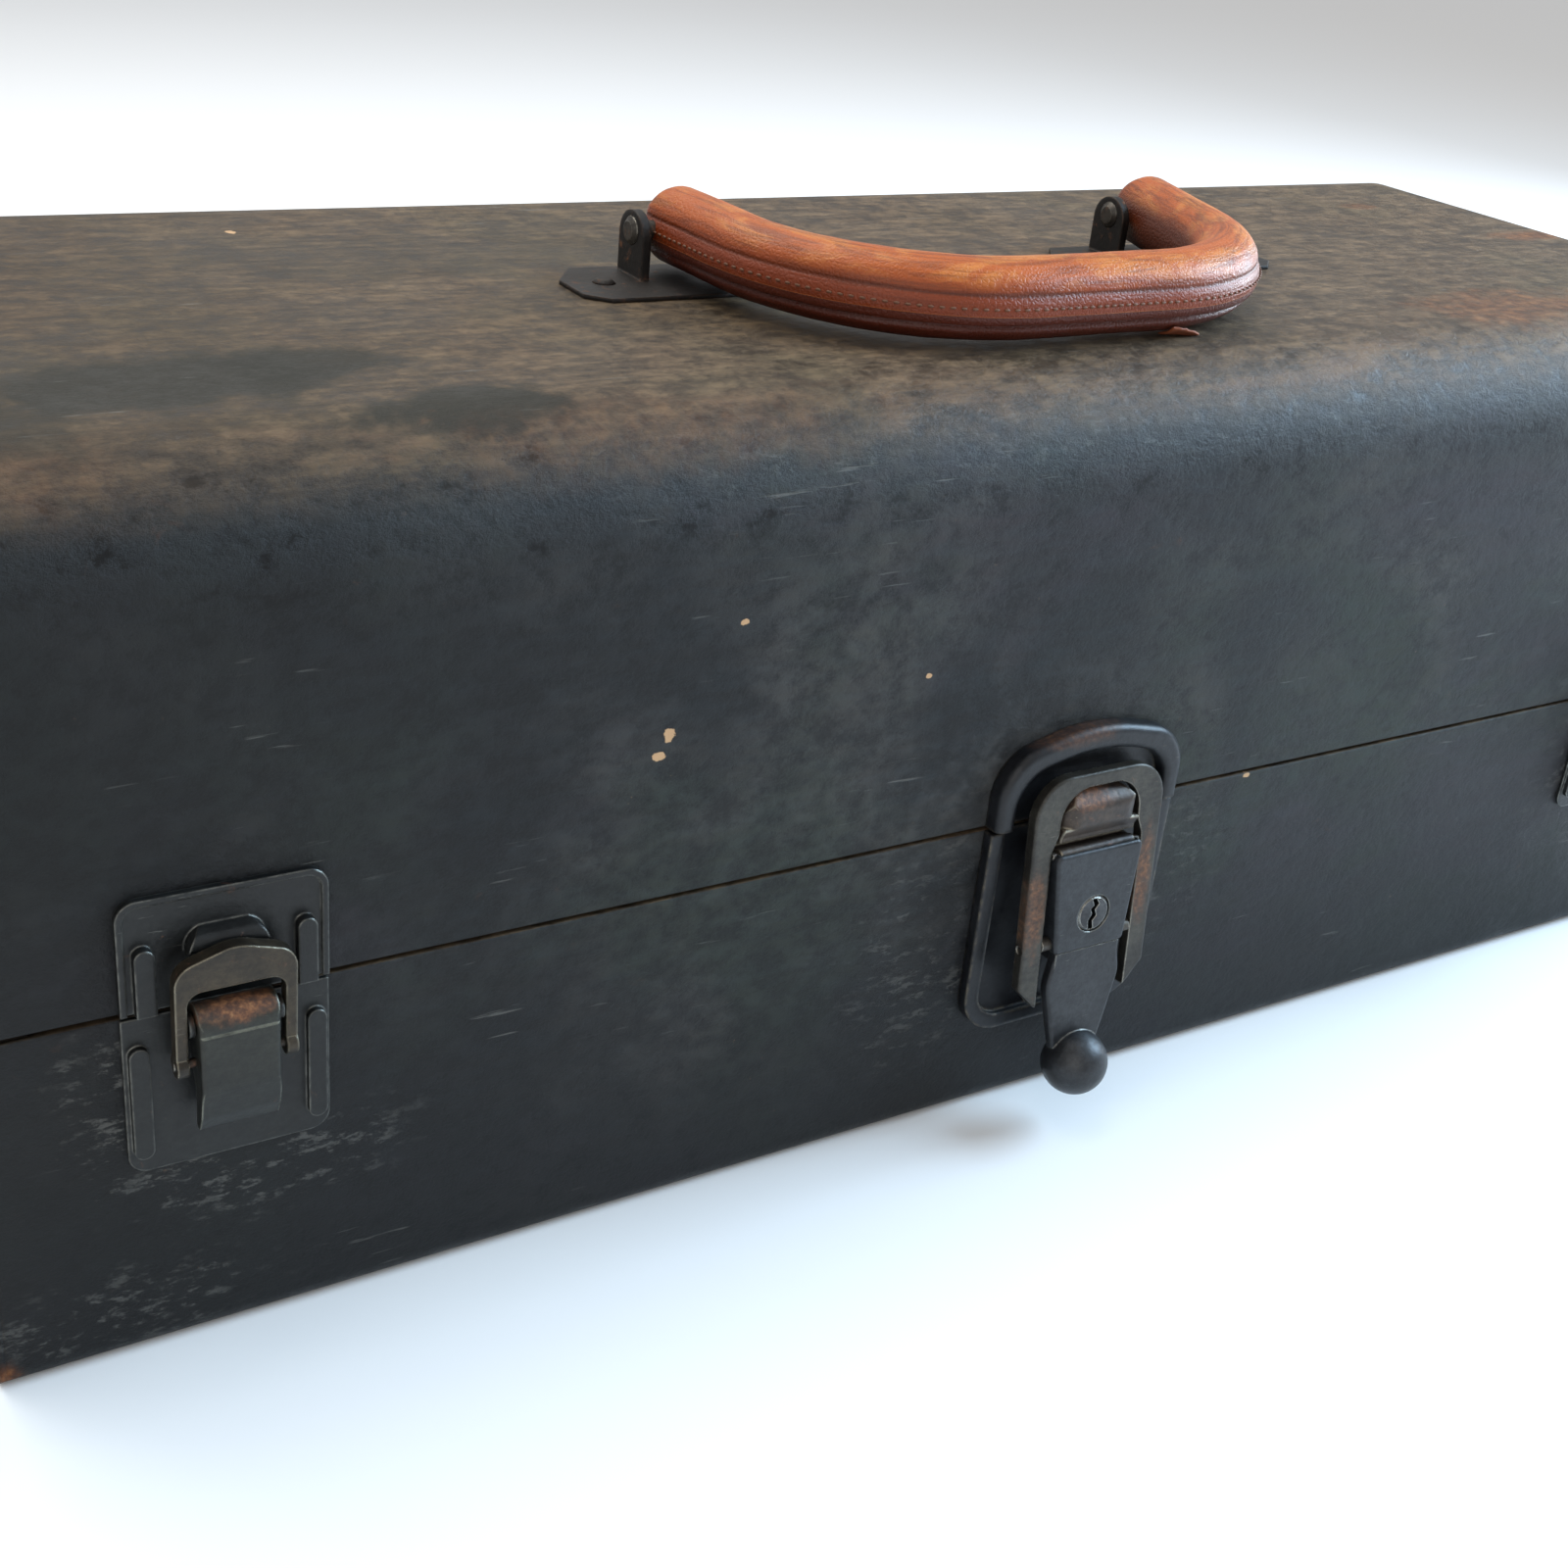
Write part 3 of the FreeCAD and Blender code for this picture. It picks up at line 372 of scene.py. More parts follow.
def makePaint():
    material, tree, shader, place = newMaterial("agedPaint")
    aged = useGroup(tree, ageing, Vector=place, Size=1.0)
    edges = useGroup(tree, edgeWear, Vector=place, Radius=0.0014, Grain=260.0, Amount=0.42)
    axes = add(tree, "ShaderNodeSeparateXYZ", {0: place}).outputs
    ownNormal = add(tree, "ShaderNodeTexCoord").outputs["Normal"]  # turns with the piece
    facing = add(tree, "ShaderNodeSeparateXYZ", {0: ownNormal}).outputs

    # upright faces: dark, with slow green, violet and blue patches
    face = mix(tree, aged["Mottle"], paint["faceDark"], paint["faceLight"])
    tint = between(tree, noise(tree, place, 9, 5, 0.62), 0.44, 0.6)
    face = mix(tree, calc(tree, "MULTIPLY", tint, paint["greenShare"]), face, paint["faceGreen"])
    cool = between(tree, noise(tree, stretched(tree, place, (7, 7, 16), (0, 0.4, 0)), 1, 6, 0.62), 0.48, 0.64)
    face = mix(tree, calc(tree, "MULTIPLY", cool, paint["violetShare"]), face, paint["faceViolet"])
    face = mix(tree, calc(tree, "MULTIPLY", aged["Streak"], paint["blueShare"]), face, paint["faceBlue"])
    # painted shade: the upright faces are darkened towards the left end and towards the bottom
    leftPaintedShade = between(tree, axes["X"], -0.05, -0.27)
    face = mix(tree, calc(tree, "MULTIPLY", leftPaintedShade, paint["leftShade"]), face, paint["faceShade"])
    lowPaintedShade = between(tree, axes["Z"], 0.09, 0.0)
    face = mix(tree, calc(tree, "MULTIPLY", lowPaintedShade, paint["lowShade"]), face, paint["faceShade"])

    # upward faces: an olive brown, partly dust and wear and partly a painted sheen, with fine streaks along
    # the box
    top = mix(tree, aged["Streak"], paint["topDark"], paint["topLight"])
    top = mix(tree, calc(tree, "MULTIPLY", tint, 0.5), top, paint["topOlive"])
    top = mix(tree, calc(tree, "MULTIPLY", aged["Mottle"], 0.3), top, paint["topBrown"])
    rise = facing["Z"]
    up = between(tree, rise, 0.45, 0.98)
    colour = mix(tree, up, face, top)
    stipple = mix(tree, aged["Stipple"], (0.32, 0.32, 0.34), (1.74, 1.70, 1.62))
    colour = mix(tree, 0.9, colour, stipple, "MULTIPLY")
    # painted shade: the upward faces are darkened towards the left end
    leftShade = mix(tree, between(tree, axes["X"], -0.06, -0.26), (1.0, 1.0, 1.0), (0.62, 0.60, 0.56))
    colour = mix(tree, up, colour, leftShade, "MULTIPLY")

    bend = zone(tree, rise, (0.5, 0.85), (1.0, 0.93))
    broken = noise(tree, stretched(tree, place, (20, 70, 70)), 1, 8, 0.72)
    rub = calc(tree, "MULTIPLY", bend, between(tree, broken, 0.48, 0.66))
    colour = mix(tree, calc(tree, "MULTIPLY", rub, paint["rubShare"]), colour, paint["tan"])

    for centre, reach, strength in paint["blotches"]:
        mask = patchMask(tree, place, centre, reach, 1.7, 64.0, 0.45)
        colour = mix(tree, calc(tree, "MULTIPLY", mask, strength), colour, paint["blotch"])
    for centre, reach, strength in paint["scuffs"]:
        near = patchMask(tree, place, centre, reach, 1.2, 160.0, 0.7)
        marks = between(tree, noise(tree, stretched(tree, place, (170, 300, 420)), 1, 8, 0.75), 0.53, 0.62)
        scuff = calc(tree, "MULTIPLY", calc(tree, "MULTIPLY", near, marks), strength * paint["scuffShare"])
        colour = mix(tree, scuff, colour, paint["scuffed"])

    rusted = useGroup(tree, rustGroup, Vector=place, Size=0.8, Amount=0.06)
    rustMask = calc(tree, "MULTIPLY", rusted["Mask"], 0.35)
    for centre, reach, strength in paint["rustPatches"]:
        mask = patchMask(tree, place, centre, reach, 1.9, 70.0, 0.7)
        rustMask = calc(tree, "MAXIMUM", rustMask, calc(tree, "MULTIPLY", mask, strength))
    colour = mix(tree, rustMask, colour, rusted["Colour"])

    scratches = calc(tree, "MULTIPLY", aged["Scratch"], paint["scratchShare"])
    colour = mix(tree, scratches, colour, paint["scuffed"])
    colour = mix(tree, calc(tree, "MULTIPLY", aged["Speck"], paint["speckShare"]), colour, paint["tan"])
    colour = mix(tree, calc(tree, "MULTIPLY", edges["Mask"], 0.5), colour, paint["edge"])
    for centre, reach in paint["chips"]:
        mask = patchMask(tree, place, centre, reach, 1.6, 640.0, 0.2)
        colour = mix(tree, mask, colour, paint["chip"])

    tree.links.new(colour, shader.inputs["Base Color"])
    shader.inputs["Specular IOR Level"].default_value = paint["specular"]
    rough = calc(tree, "MULTIPLY_ADD", aged["Mottle"], 0.12, 0.36)
    rough = calc(tree, "MULTIPLY_ADD", aged["Stipple"], 0.16, rough)
    rough = calc(tree, "MULTIPLY_ADD", rustMask, 0.3, rough, clamp=True)
    tree.links.new(rough, shader.inputs["Roughness"])
    height = calc(tree, "MULTIPLY_ADD", aged["Grain"], 0.3, calc(tree, "MULTIPLY", aged["Stipple"], 0.5))
    height = calc(tree, "MULTIPLY_ADD", rustMask, 0.5, height)
    height = calc(tree, "MULTIPLY_ADD", aged["Scratch"], -0.4, height)
    fine = bumped(tree, 0.55, 0.0006, height, edges["Normal"])
    dented = bumped(tree, 0.45, 0.004, noise(tree, place, 11, 2, 0.5), fine)
    tree.links.new(dented, shader.inputs["Normal"])
    return material


# bare and painted hardware
hardware = {  # base, deep and worn colours; rust, wear, roughness, metal and edge radius in metres
    "latchSteel": {"base": shade(31, 33, 33), "deep": shade(16, 17, 18), "worn": shade(120, 120, 114),
        "rust": 0.1, "wear": 0.62, "rough": 0.42, "metal": 0.3, "radius": 0.0008},
    "leverSteel": {"base": shade(44, 46, 41), "deep": shade(24, 26, 25), "worn": shade(134, 136, 124),
        "rust": 0.06, "wear": 0.7, "rough": 0.42, "metal": 0.3, "radius": 0.0008},
    "bailSteel": {"base": shade(62, 54, 42), "deep": shade(32, 29, 25), "worn": shade(140, 134, 118),
        "rust": 0.16, "wear": 0.72, "rough": 0.38, "metal": 0.4, "radius": 0.0008},
    "keeperSteel": {"base": shade(33, 35, 39), "deep": shade(16, 17, 21), "worn": shade(116, 106, 90),
        "rust": 0.06, "wear": 0.5, "rough": 0.4, "metal": 0.3, "radius": 0.0016},
    "ringSteel": {"base": shade(66, 64, 58), "deep": shade(36, 34, 32), "worn": shade(146, 142, 132),
        "rust": 0.16, "wear": 0.72, "rough": 0.36, "metal": 0.45, "radius": 0.0008},
    "caseSteel": {"base": shade(46, 49, 53), "deep": shade(28, 30, 34), "worn": shade(138, 138, 132),
        "rust": 0.03, "wear": 0.66, "rough": 0.36, "metal": 0.35, "radius": 0.0007},
    "tailSteel": {"base": shade(50, 52, 55), "deep": shade(28, 30, 34), "worn": shade(140, 140, 134),
        "rust": 0.06, "wear": 0.6, "rough": 0.36, "metal": 0.35, "radius": 0.0009},
    "plugSteel": {"base": shade(88, 90, 92), "deep": shade(50, 50, 52), "worn": shade(180, 178, 170),
        "rust": 0.05, "wear": 0.8, "rough": 0.34, "metal": 0.8, "radius": 0.0004},
    "tongueSteel": {"base": shade(66, 56, 48), "deep": shade(34, 30, 31), "worn": shade(150, 142, 126),
        "rust": 0.22, "wear": 0.8, "rough": 0.38, "metal": 0.35, "radius": 0.0012},
    "lockBrass": {"base": shade(140, 110, 60), "deep": shade(90, 68, 36), "worn": shade(206, 180, 120),
        "rust": 0.0, "wear": 0.8, "rough": 0.35, "metal": 0.95, "radius": 0.0005},
    "hingeSteel": {"base": shade(52, 52, 52), "deep": shade(28, 28, 30), "worn": shade(130, 128, 120),
        "rust": 0.22, "wear": 0.7, "rough": 0.45, "metal": 0.4, "radius": 0.0008},
    "bracketIron": {"base": shade(28, 23, 20), "deep": shade(11, 10, 10), "worn": shade(88, 70, 58),
        "rust": 0.26, "wear": 0.5, "rough": 0.55, "metal": 0.3, "radius": 0.0009},
    "pinSteel": {"base": shade(84, 80, 74), "deep": shade(46, 43, 40), "worn": shade(170, 166, 156),
        "rust": 0.3, "wear": 0.8, "rough": 0.4, "metal": 0.6, "radius": 0.0005},
    "innerPaint": {"base": shade(62, 64, 60), "deep": shade(40, 42, 41), "worn": shade(120, 116, 108),
        "rust": 0.24, "wear": 0.6, "rough": 0.6, "metal": 0.0, "radius": 0.0008},
}


def makeHardware(name, rusty=()):
    look = hardware[name]
    material, tree, shader, place = newMaterial(name)
    aged = useGroup(tree, ageing, Vector=place, Size=3.2)
    edges = useGroup(tree, edgeWear, Vector=place, Radius=look["radius"], Grain=420.0, Amount=look["wear"])
    colour = mix(tree, aged["Mottle"], look["deep"], look["base"])
    colour = mix(tree, calc(tree, "MULTIPLY", aged["Streak"], 0.35), colour, look["base"])
    stipple = mix(tree, aged["Stipple"], (0.55, 0.55, 0.56), (1.3, 1.28, 1.25))
    colour = mix(tree, 0.7, colour, stipple, "MULTIPLY")
    rusted = useGroup(tree, rustGroup, Vector=place, Size=2.6, Amount=look["rust"])
    rustMask = calc(tree, "MULTIPLY", rusted["Mask"], 0.75 if look["rust"] else 0.0)
    for centre, reach, strength in rusty:
        mask = patchMask(tree, place, centre, reach, 1.2, 240.0, 0.6)
        rustMask = calc(tree, "MAXIMUM", rustMask, calc(tree, "MULTIPLY", mask, strength))
    colour = mix(tree, rustMask, colour, rusted["Colour"])
    colour = mix(tree, calc(tree, "MULTIPLY", aged["Scratch"], 0.5), colour, look["worn"])
    bare = calc(tree, "MULTIPLY", edges["Mask"], calc(tree, "MULTIPLY_ADD", rustMask, -0.6, 1.0))
    colour = mix(tree, bare, colour, look["worn"])
    tree.links.new(colour, shader.inputs["Base Color"])
    metal = calc(tree, "MULTIPLY_ADD", bare, 0.5, look["metal"])
    metal = calc(tree, "MULTIPLY", metal, calc(tree, "SUBTRACT", 1.0, rustMask), clamp=True)
    tree.links.new(metal, shader.inputs["Metallic"])
    rough = calc(tree, "MULTIPLY_ADD", aged["Mottle"], 0.14, look["rough"] - 0.06)
    rough = calc(tree, "MULTIPLY_ADD", rustMask, 0.3, rough)
    rough = calc(tree, "MULTIPLY_ADD", bare, -0.1, rough, clamp=True)
    tree.links.new(rough, shader.inputs["Roughness"])
    height = calc(tree, "MULTIPLY", noise(tree, place, 240, 4, 0.6), 0.6)
    height = calc(tree, "MULTIPLY_ADD", noise(tree, place, 700, 4, 0.6), 0.5, height)
    height = calc(tree, "MULTIPLY_ADD", calc(tree, "MULTIPLY", rusted["Height"], rustMask), 0.8, height)
    tree.links.new(bumped(tree, 0.4, 0.0004, height, edges["Normal"]), shader.inputs["Normal"])
    return material


# leather handle
grip = {
    "radius": 0.0095,
    "section": [  # angle up from the outer side, and how far out as a share of the radius
        (-180, 0.955), (-150, 0.95), (-120, 0.955), (-95, 0.97), (-75, 0.985), (-60, 1.0),
        (-42, 1.0), (-37, 0.985), (-34, 0.90), (-31, 0.855), (-28, 0.92), (-24.5, 1.02),
        (-18, 1.035), (-6, 1.025), (6, 0.995), (14, 0.965), (18, 0.948), (22, 0.968),
        (34, 1.0), (90, 1.0), (135, 0.985), (180, 0.955)],
    "pinRise": 0.0113,
    "offset": 0.0104,
    "halfSpan": 0.072,
    "reach": 0.0675,
    "halfGrip": 0.060,
    "setLeft": 0.006,
    "bend": 0.050,
    "behindPin": 0.0025,
    "endDome": 0.0070,
    "lidGap": 0.0101,
    "ringStep": 0.0016,
    "rollStart": 0.2,  # radians below the outer side, where the pattern's own seam is
    "shrink": 0.00022,
    "lump": 0.00022,
    "wrinkle": 0.00008,
    "slack": 0.00022,
    "stitchAngle": 0,
    "stitchPitch": 0.0021,
    "stitchLength": 0.0014,
    "stitchRadius": 0.00032,
}
grip["pinZ"] = lidTop + grip["pinRise"]
grip["lean"] = math.atan((grip["pinRise"] - grip["lidGap"]) / grip["reach"])


def gripRoute():
    # straight runs and bends of the centre line, flat at the height of the pins
    middle = grip["offset"] - grip["setLeft"]
    corners = [Vector((middle + side * grip["halfGrip"], -grip["reach"], 0)) for side in (-1, 1)]
    pins = [Vector((grip["offset"] + side * grip["halfSpan"], 0, 0)) for side in (-1, 1)]
    ends = [pins[i] - (corners[i] - pins[i]).normalized() * grip["behindPin"] for i in (0, 1)]
    line = [ends[0], corners[0], corners[1], ends[1]]
    runs = []
    last = line[0]
    for i in (1, 2):
        back = (line[i - 1] - line[i]).normalized()
        on = (line[i + 1] - line[i]).normalized()
        half = back.angle(on) / 2
        centre = line[i] + (back + on).normalized() * (grip["bend"] / math.sin(half))
        start = line[i] + back * (grip["bend"] / math.tan(half))
        stop = line[i] + on * (grip["bend"] / math.tan(half))
        runs.append({"kind": "straight", "a": last, "b": start, "length": (start - last).length})
        turn = math.pi - 2 * half
        runs.append({"kind": "bend", "a": start, "b": stop, "centre": centre, "turn": turn,
                     "length": turn * grip["bend"]})
        last = stop
    runs.append({"kind": "straight", "a": last, "b": line[3], "length": (line[3] - last).length})
    return runs


gripRuns = gripRoute()
gripLength = sum(run["length"] for run in gripRuns)


def gripPlace(along):
    # centre, outward and onward directions at a distance along the handle
    for run in gripRuns:
        if along <= run["length"] or run is gripRuns[-1]:
            break
        along -= run["length"]
    if run["kind"] == "straight":
        onward = (run["b"] - run["a"]).normalized()
        centre = run["a"] + onward * along
        outward = Vector((onward.y, -onward.x, 0))
        return centre, outward, onward
    out = (run["a"] - run["centre"]).normalized()
    out.rotate(Euler((0, 0, along / grip["bend"])))
    return run["centre"] + out * grip["bend"], out, Vector((-out.y, out.x, 0))


def sectionRadius(degrees):
    degrees = (degrees + 180) % 360 - 180
    table = grip["section"]
    for (a, ra), (b, rb) in zip(table, table[1:]):
        if a <= degrees <= b:
            share = (degrees - a) / (b - a)
            share = share * share * (3 - 2 * share)
            return grip["radius"] * (ra + (rb - ra) * share)
    return grip["radius"]


def sectionAngles():
    # more points where the seam is
    angles = [-180 + 8 * i for i in range(17)]
    angles += [-44 + 2 * i for i in range(36)]
    angles += [32 + 8 * i for i in range(19)]
    return angles


def gripCoordinates(point):
    # distance along the handle and angle round the roll, for a point of the flat handle
    best = None
    passed = 0.0
    for run in gripRuns:
        if run["kind"] == "straight":
            onward = (run["b"] - run["a"]).normalized()
            along = (point - run["a"]).dot(onward)
        else:
            start = run["a"] - run["centre"]
            here = point - run["centre"]
            along = math.atan2(start.cross(here).z, start.x * here.x + start.y * here.y) * grip["bend"]
        first = run is gripRuns[0]
        last = run is gripRuns[-1]
        inside = (first or along >= -1e-5) and (last or along <= run["length"] + 1e-5)
        if inside:
            centre, outward, onward = gripPlace(passed + along)
            away = point - centre
            if best is None or away.length < best[0]:
                best = (away.length, passed + along, math.atan2(away.z, away.dot(outward)))
        passed += run["length"]
    return best[1], best[2]


def leanGrip(piece):
    # tip the flat handle about its pins so that the roll comes down to the lid
    piece.data.transform(Matrix.Rotation(grip["lean"], 4, "X"))
    piece.data.transform(Matrix.Translation((0, 0, grip["pinZ"])))


def gripPoint(along, degrees, lift=0.0):
    centre, outward = gripPlace(along)[:2]
    turn = math.radians(degrees)
    away = outward * math.cos(turn) + Vector((0, 0, math.sin(turn)))
    return centre + away * (sectionRadius(degrees) + lift)


def roundEnd(piece, along, direction):
    # close one end of the roll as a dome
    centre, outward, onward = gripPlace(along)
    takeHold(piece)
    bpy.ops.object.mode_set(mode="EDIT")
    bpy.ops.mesh.select_mode(type="VERT")
    bpy.ops.mesh.select_all(action="DESELECT")
    bpy.ops.object.mode_set(mode="OBJECT")
    for vertex in piece.data.vertices:
        vertex.select = abs((vertex.co - centre).dot(onward)) < 1e-5 and (vertex.co - centre).length < 0.012
    bpy.ops.object.mode_set(mode="EDIT")
    steps = 9
    reached = 0.0
    share = 1.0
    for i in range(1, steps + 1):
        turn = math.radians(88) * i / steps
        ahead = grip["endDome"] * math.sin(turn)
        smaller = math.cos(turn)
        move = onward * direction * (ahead - reached)
        bpy.ops.mesh.extrude_edges_move(TRANSFORM_OT_translate={"value": move})
        factor = smaller / share
        middle = centre + onward * direction * ahead
        bpy.ops.transform.resize(value=(factor, factor, factor), center_override=middle)
        reached = ahead
        share = smaller
    bpy.ops.mesh.merge(type="CENTER")
    bpy.ops.object.mode_set(mode="OBJECT")


def makeGrip():
    angles = sectionAngles()
    deselectAll()
    bpy.ops.mesh.primitive_circle_add(vertices=len(angles), radius=grip["radius"], fill_type="NOTHING")
    piece = bpy.context.object
    piece.name = "leatherGrip"
    for vertex, degrees in zip(piece.data.vertices, angles):
        vertex.co = gripPoint(0, degrees)
    bpy.ops.object.mode_set(mode="EDIT")
    bpy.ops.mesh.select_all(action="SELECT")
    for run in gripRuns:
        steps = max(3, round(run["length"] / grip["ringStep"]))
        if run["kind"] == "straight":
            move = (run["b"] - run["a"]) / steps
            for i in range(steps):
                bpy.ops.mesh.extrude_edges_move(TRANSFORM_OT_translate={"value": move})
        else:
            bpy.ops.mesh.spin(steps=steps, angle=-run["turn"], center=run["centre"], axis=(0, 0, 1))
    bpy.ops.mesh.select_all(action="SELECT")
    bpy.ops.mesh.remove_doubles(threshold=0.00001)
    bpy.ops.object.mode_set(mode="OBJECT")
    roundEnd(piece, 0, -1)
    roundEnd(piece, gripLength, 1)
    takeHold(piece)
    bpy.ops.object.mode_set(mode="EDIT")
    bpy.ops.mesh.select_all(action="SELECT")
    bpy.ops.mesh.normals_make_consistent(inside=False)
    bpy.ops.object.mode_set(mode="OBJECT")

    # hand-made unevenness: long dents, wrinkles where the leather bends, a slack lower edge
    roll = piece.data.attributes.new("roll", "FLOAT_VECTOR", "POINT")
    for index, vertex in enumerate(piece.data.vertices):
        along, turn = gripCoordinates(vertex.co)
        roll.data[index].vector = (along, (turn + grip["rollStart"]) % (2 * math.pi) * grip["radius"], 0)
        centre = gripPlace(min(max(along, 0), gripLength))[0]
        lumps = mathNoise(Vector((along * 38, math.sin(turn) * 0.8, math.cos(turn) * 0.8)))
        wrinkles = mathNoise(Vector((along * 210, math.sin(turn) * 2.5, math.cos(turn) * 2.5 + 7)))
        seam = max(0.0, 1 - abs(math.degrees(turn) + 45) / 25)
        slack = mathNoise(Vector((along * 120, 3.1, 0))) * seam
        push = grip["lump"] * lumps + grip["wrinkle"] * wrinkles + grip["slack"] * slack - grip["shrink"]
        away = vertex.co - centre
        if away.length > 0.002:
            vertex.co += away.normalized() * push
    leanGrip(piece)
    smoothByAngle(piece, 60)
    return piece


def makeStitches():
    # one stitch is shaped, then copied along the seam
    deselectAll()
    bpy.ops.mesh.primitive_ico_sphere_add(subdivisions=2, radius=grip["stitchRadius"])
    first = bpy.context.object
    bpy.ops.object.mode_set(mode="EDIT")
    bpy.ops.transform.resize(value=(grip["stitchLength"] / 2 / grip["stitchRadius"], 1, 0.8))
    bpy.ops.object.mode_set(mode="OBJECT")
    pieces = []
    along = grip["stitchPitch"] * 2
    while along < gripLength - grip["stitchPitch"] * 2:
        centre, outward, onward = gripPlace(along)
        place = gripPoint(along, grip["stitchAngle"], 0.00002)
        turn = math.radians(grip["stitchAngle"])
        up = (outward * math.cos(turn) + Vector((0, 0, math.sin(turn)))).normalized()
        side = up.cross(onward)
        copy = first.copy()
        copy.data = first.data.copy()
        bpy.context.scene.collection.objects.link(copy)
        dip = 0.08 * mathNoise(Vector((along * 400, 0, 5)))
        frameTurn = Matrix((onward + side * dip, side, up)).transposed().to_4x4()
        copy.data.transform(Matrix.Translation(place) @ frameTurn)
        pieces.append(copy)
        along += grip["stitchPitch"]
    bpy.data.objects.remove(first)
    stitches = joinPieces(pieces, "gripStitches")
    leanGrip(stitches)
    smoothByAngle(stitches, 60)
    return stitches


torn = {"start": 0.1365, "length": 0.0100, "width": 0.0058, "taper": 0.7, "angle": -62,
        "gap": 0.0002, "curl": 0.0016, "thickness": 0.0007}


def makeTornScrap():
    # a torn flap of the lower layer that hangs off the front of the roll
    deselectAll()
    bpy.ops.mesh.primitive_grid_add(x_subdivisions=12, y_subdivisions=6, size=1)
    scrap = bpy.context.object
    for vertex in scrap.data.vertices:
        u = vertex.co.x + 0.5
        v = vertex.co.y + 0.5
        width = torn["width"] * (1 - torn["taper"] * u) * (1 + 0.22 * mathNoise(Vector((u * 6, 1, 2))))
        along = torn["start"] + torn["length"] * u
        angle = torn["angle"] + (v - 0.4) * math.degrees(width / grip["radius"])
        lift = torn["gap"] + torn["curl"] * u * u + 0.0003 * mathNoise(Vector((u * 5, v * 4, 1)))
        vertex.co = gripPoint(along, angle, lift)
    applyModifier(scrap, "SOLIDIFY", thickness=torn["thickness"], offset=1)
    applyModifier(scrap, "SUBSURF", levels=1, render_levels=1)
    scrap.name = "tornScrap"
    leanGrip(scrap)
    smoothByAngle(scrap, 50)
    return scrap


leather = {
    # top and front are one leather; the lighter top colour is a painted highlight
    "top": shade(170, 84, 30), "topWorn": shade(196, 122, 56), "topDark": shade(86, 36, 15),
    "front": shade(132, 54, 14), "band": shade(112, 44, 14), "under": shade(80, 32, 20),
    "pale": shade(176, 160, 146),
    # the crease colour is painted shade, used in the crease and in the groove between the layers
    "crease": shade(34, 14, 10), "thread": shade(110, 70, 46),
    # where each part of the roll begins and ends, in degrees up from the outer side
    "topAngles": (18, 52), "innerAngles": (128, 165),
    "bandAngles": ((-33, -27), (18, 11)), "creaseAngles": ((13, 18), (24, 19)),
    "grooveAngles": ((-37, -33.5), (-26, -29.5)), "paleAngles": ((-80, -50), (-6, -22)),
    "paleStretch": ((0.150, 0.176), (0.235, 0.205)),  # metres along the handle
    "specular": 0.3, "coat": 0.1, "coatRoughness": 0.22,
}


def makeLeather():
    material, tree, shader, place = newMaterial("gripLeather")
    roll = add(tree, "ShaderNodeAttribute", attribute_name="roll").outputs["Vector"]
    grain = useGroup(tree, leatherGrain, Vector=place, Roll=roll)
    rollAxes = add(tree, "ShaderNodeSeparateXYZ", {0: roll}).outputs
    along = rollAxes["X"]
    turned = calc(tree, "MULTIPLY", rollAxes["Y"], math.degrees(1) / grip["radius"])
    degrees = calc(tree, "SUBTRACT", turned, math.degrees(grip["rollStart"]))
    # painted highlight: the top of the roll is lighter than its front
    onTop = between(tree, degrees, *leather["topAngles"])
    colour = mix(tree, onTop, leather["front"], leather["top"])
    worn = between(tree, grain["Wear"], 0.46, 0.62)
    worn = calc(tree, "MULTIPLY", worn, calc(tree, "MULTIPLY", onTop, 0.7))
    colour = mix(tree, worn, colour, leather["topWorn"])
    # painted shade: the inner side of the roll is darkened with the dark leather colour
    innerShade = between(tree, degrees, *leather["innerAngles"])
    colour = mix(tree, innerShade, colour, leather["topDark"])
    dark = between(tree, grain["Fibre"], 0.54, 0.38)
    colour = mix(tree, calc(tree, "MULTIPLY", dark, 0.5), colour, leather["topDark"])
    stain = between(tree, grain["Stain"], 0.50, 0.68)
    colour = mix(tree, calc(tree, "MULTIPLY", stain, 0.65), colour, leather["topDark"])
    band = zone(tree, degrees, *leather["bandAngles"])
    colour = mix(tree, calc(tree, "MULTIPLY", band, 0.6), colour, leather["band"])
    under = calc(tree, "MAXIMUM", between(tree, degrees, -31, -36), between(tree, degrees, 220, 240))
    colour = mix(tree, calc(tree, "MULTIPLY", under, 0.85), colour, leather["under"])
    # painted shade in the crease along the top and in the groove between the two layers
    crease = zone(tree, degrees, *leather["creaseAngles"])
    colour = mix(tree, calc(tree, "MULTIPLY", crease, 0.5), colour, leather["crease"])
    groove = zone(tree, degrees, *leather["grooveAngles"])
    colour = mix(tree, groove, colour, leather["crease"])
    pale = zone(tree, degrees, *leather["paleAngles"])
    pale = calc(tree, "MULTIPLY", pale, zone(tree, along, *leather["paleStretch"]))
    pale = calc(tree, "MULTIPLY", pale, between(tree, grain["Wear"], 0.24, 0.46))
    colour = mix(tree, calc(tree, "MULTIPLY", pale, 0.9), colour, leather["pale"])
    tree.links.new(colour, shader.inputs["Base Color"])
    rough = calc(tree, "MULTIPLY_ADD", grain["Wear"], -0.25, 0.56)
    tree.links.new(rough, shader.inputs["Roughness"])
    height = calc(tree, "MULTIPLY_ADD", grain["Pebble"], 0.35, grain["Fibre"])
    height = calc(tree, "MULTIPLY_ADD", crease, -0.6, height)
    tree.links.new(bumped(tree, 0.45, 0.0006, height), shader.inputs["Normal"])
    shader.inputs["Specular IOR Level"].default_value = leather["specular"]
    shader.inputs["Coat Weight"].default_value = leather["coat"]
    shader.inputs["Coat Roughness"].default_value = leather["coatRoughness"]
    return material


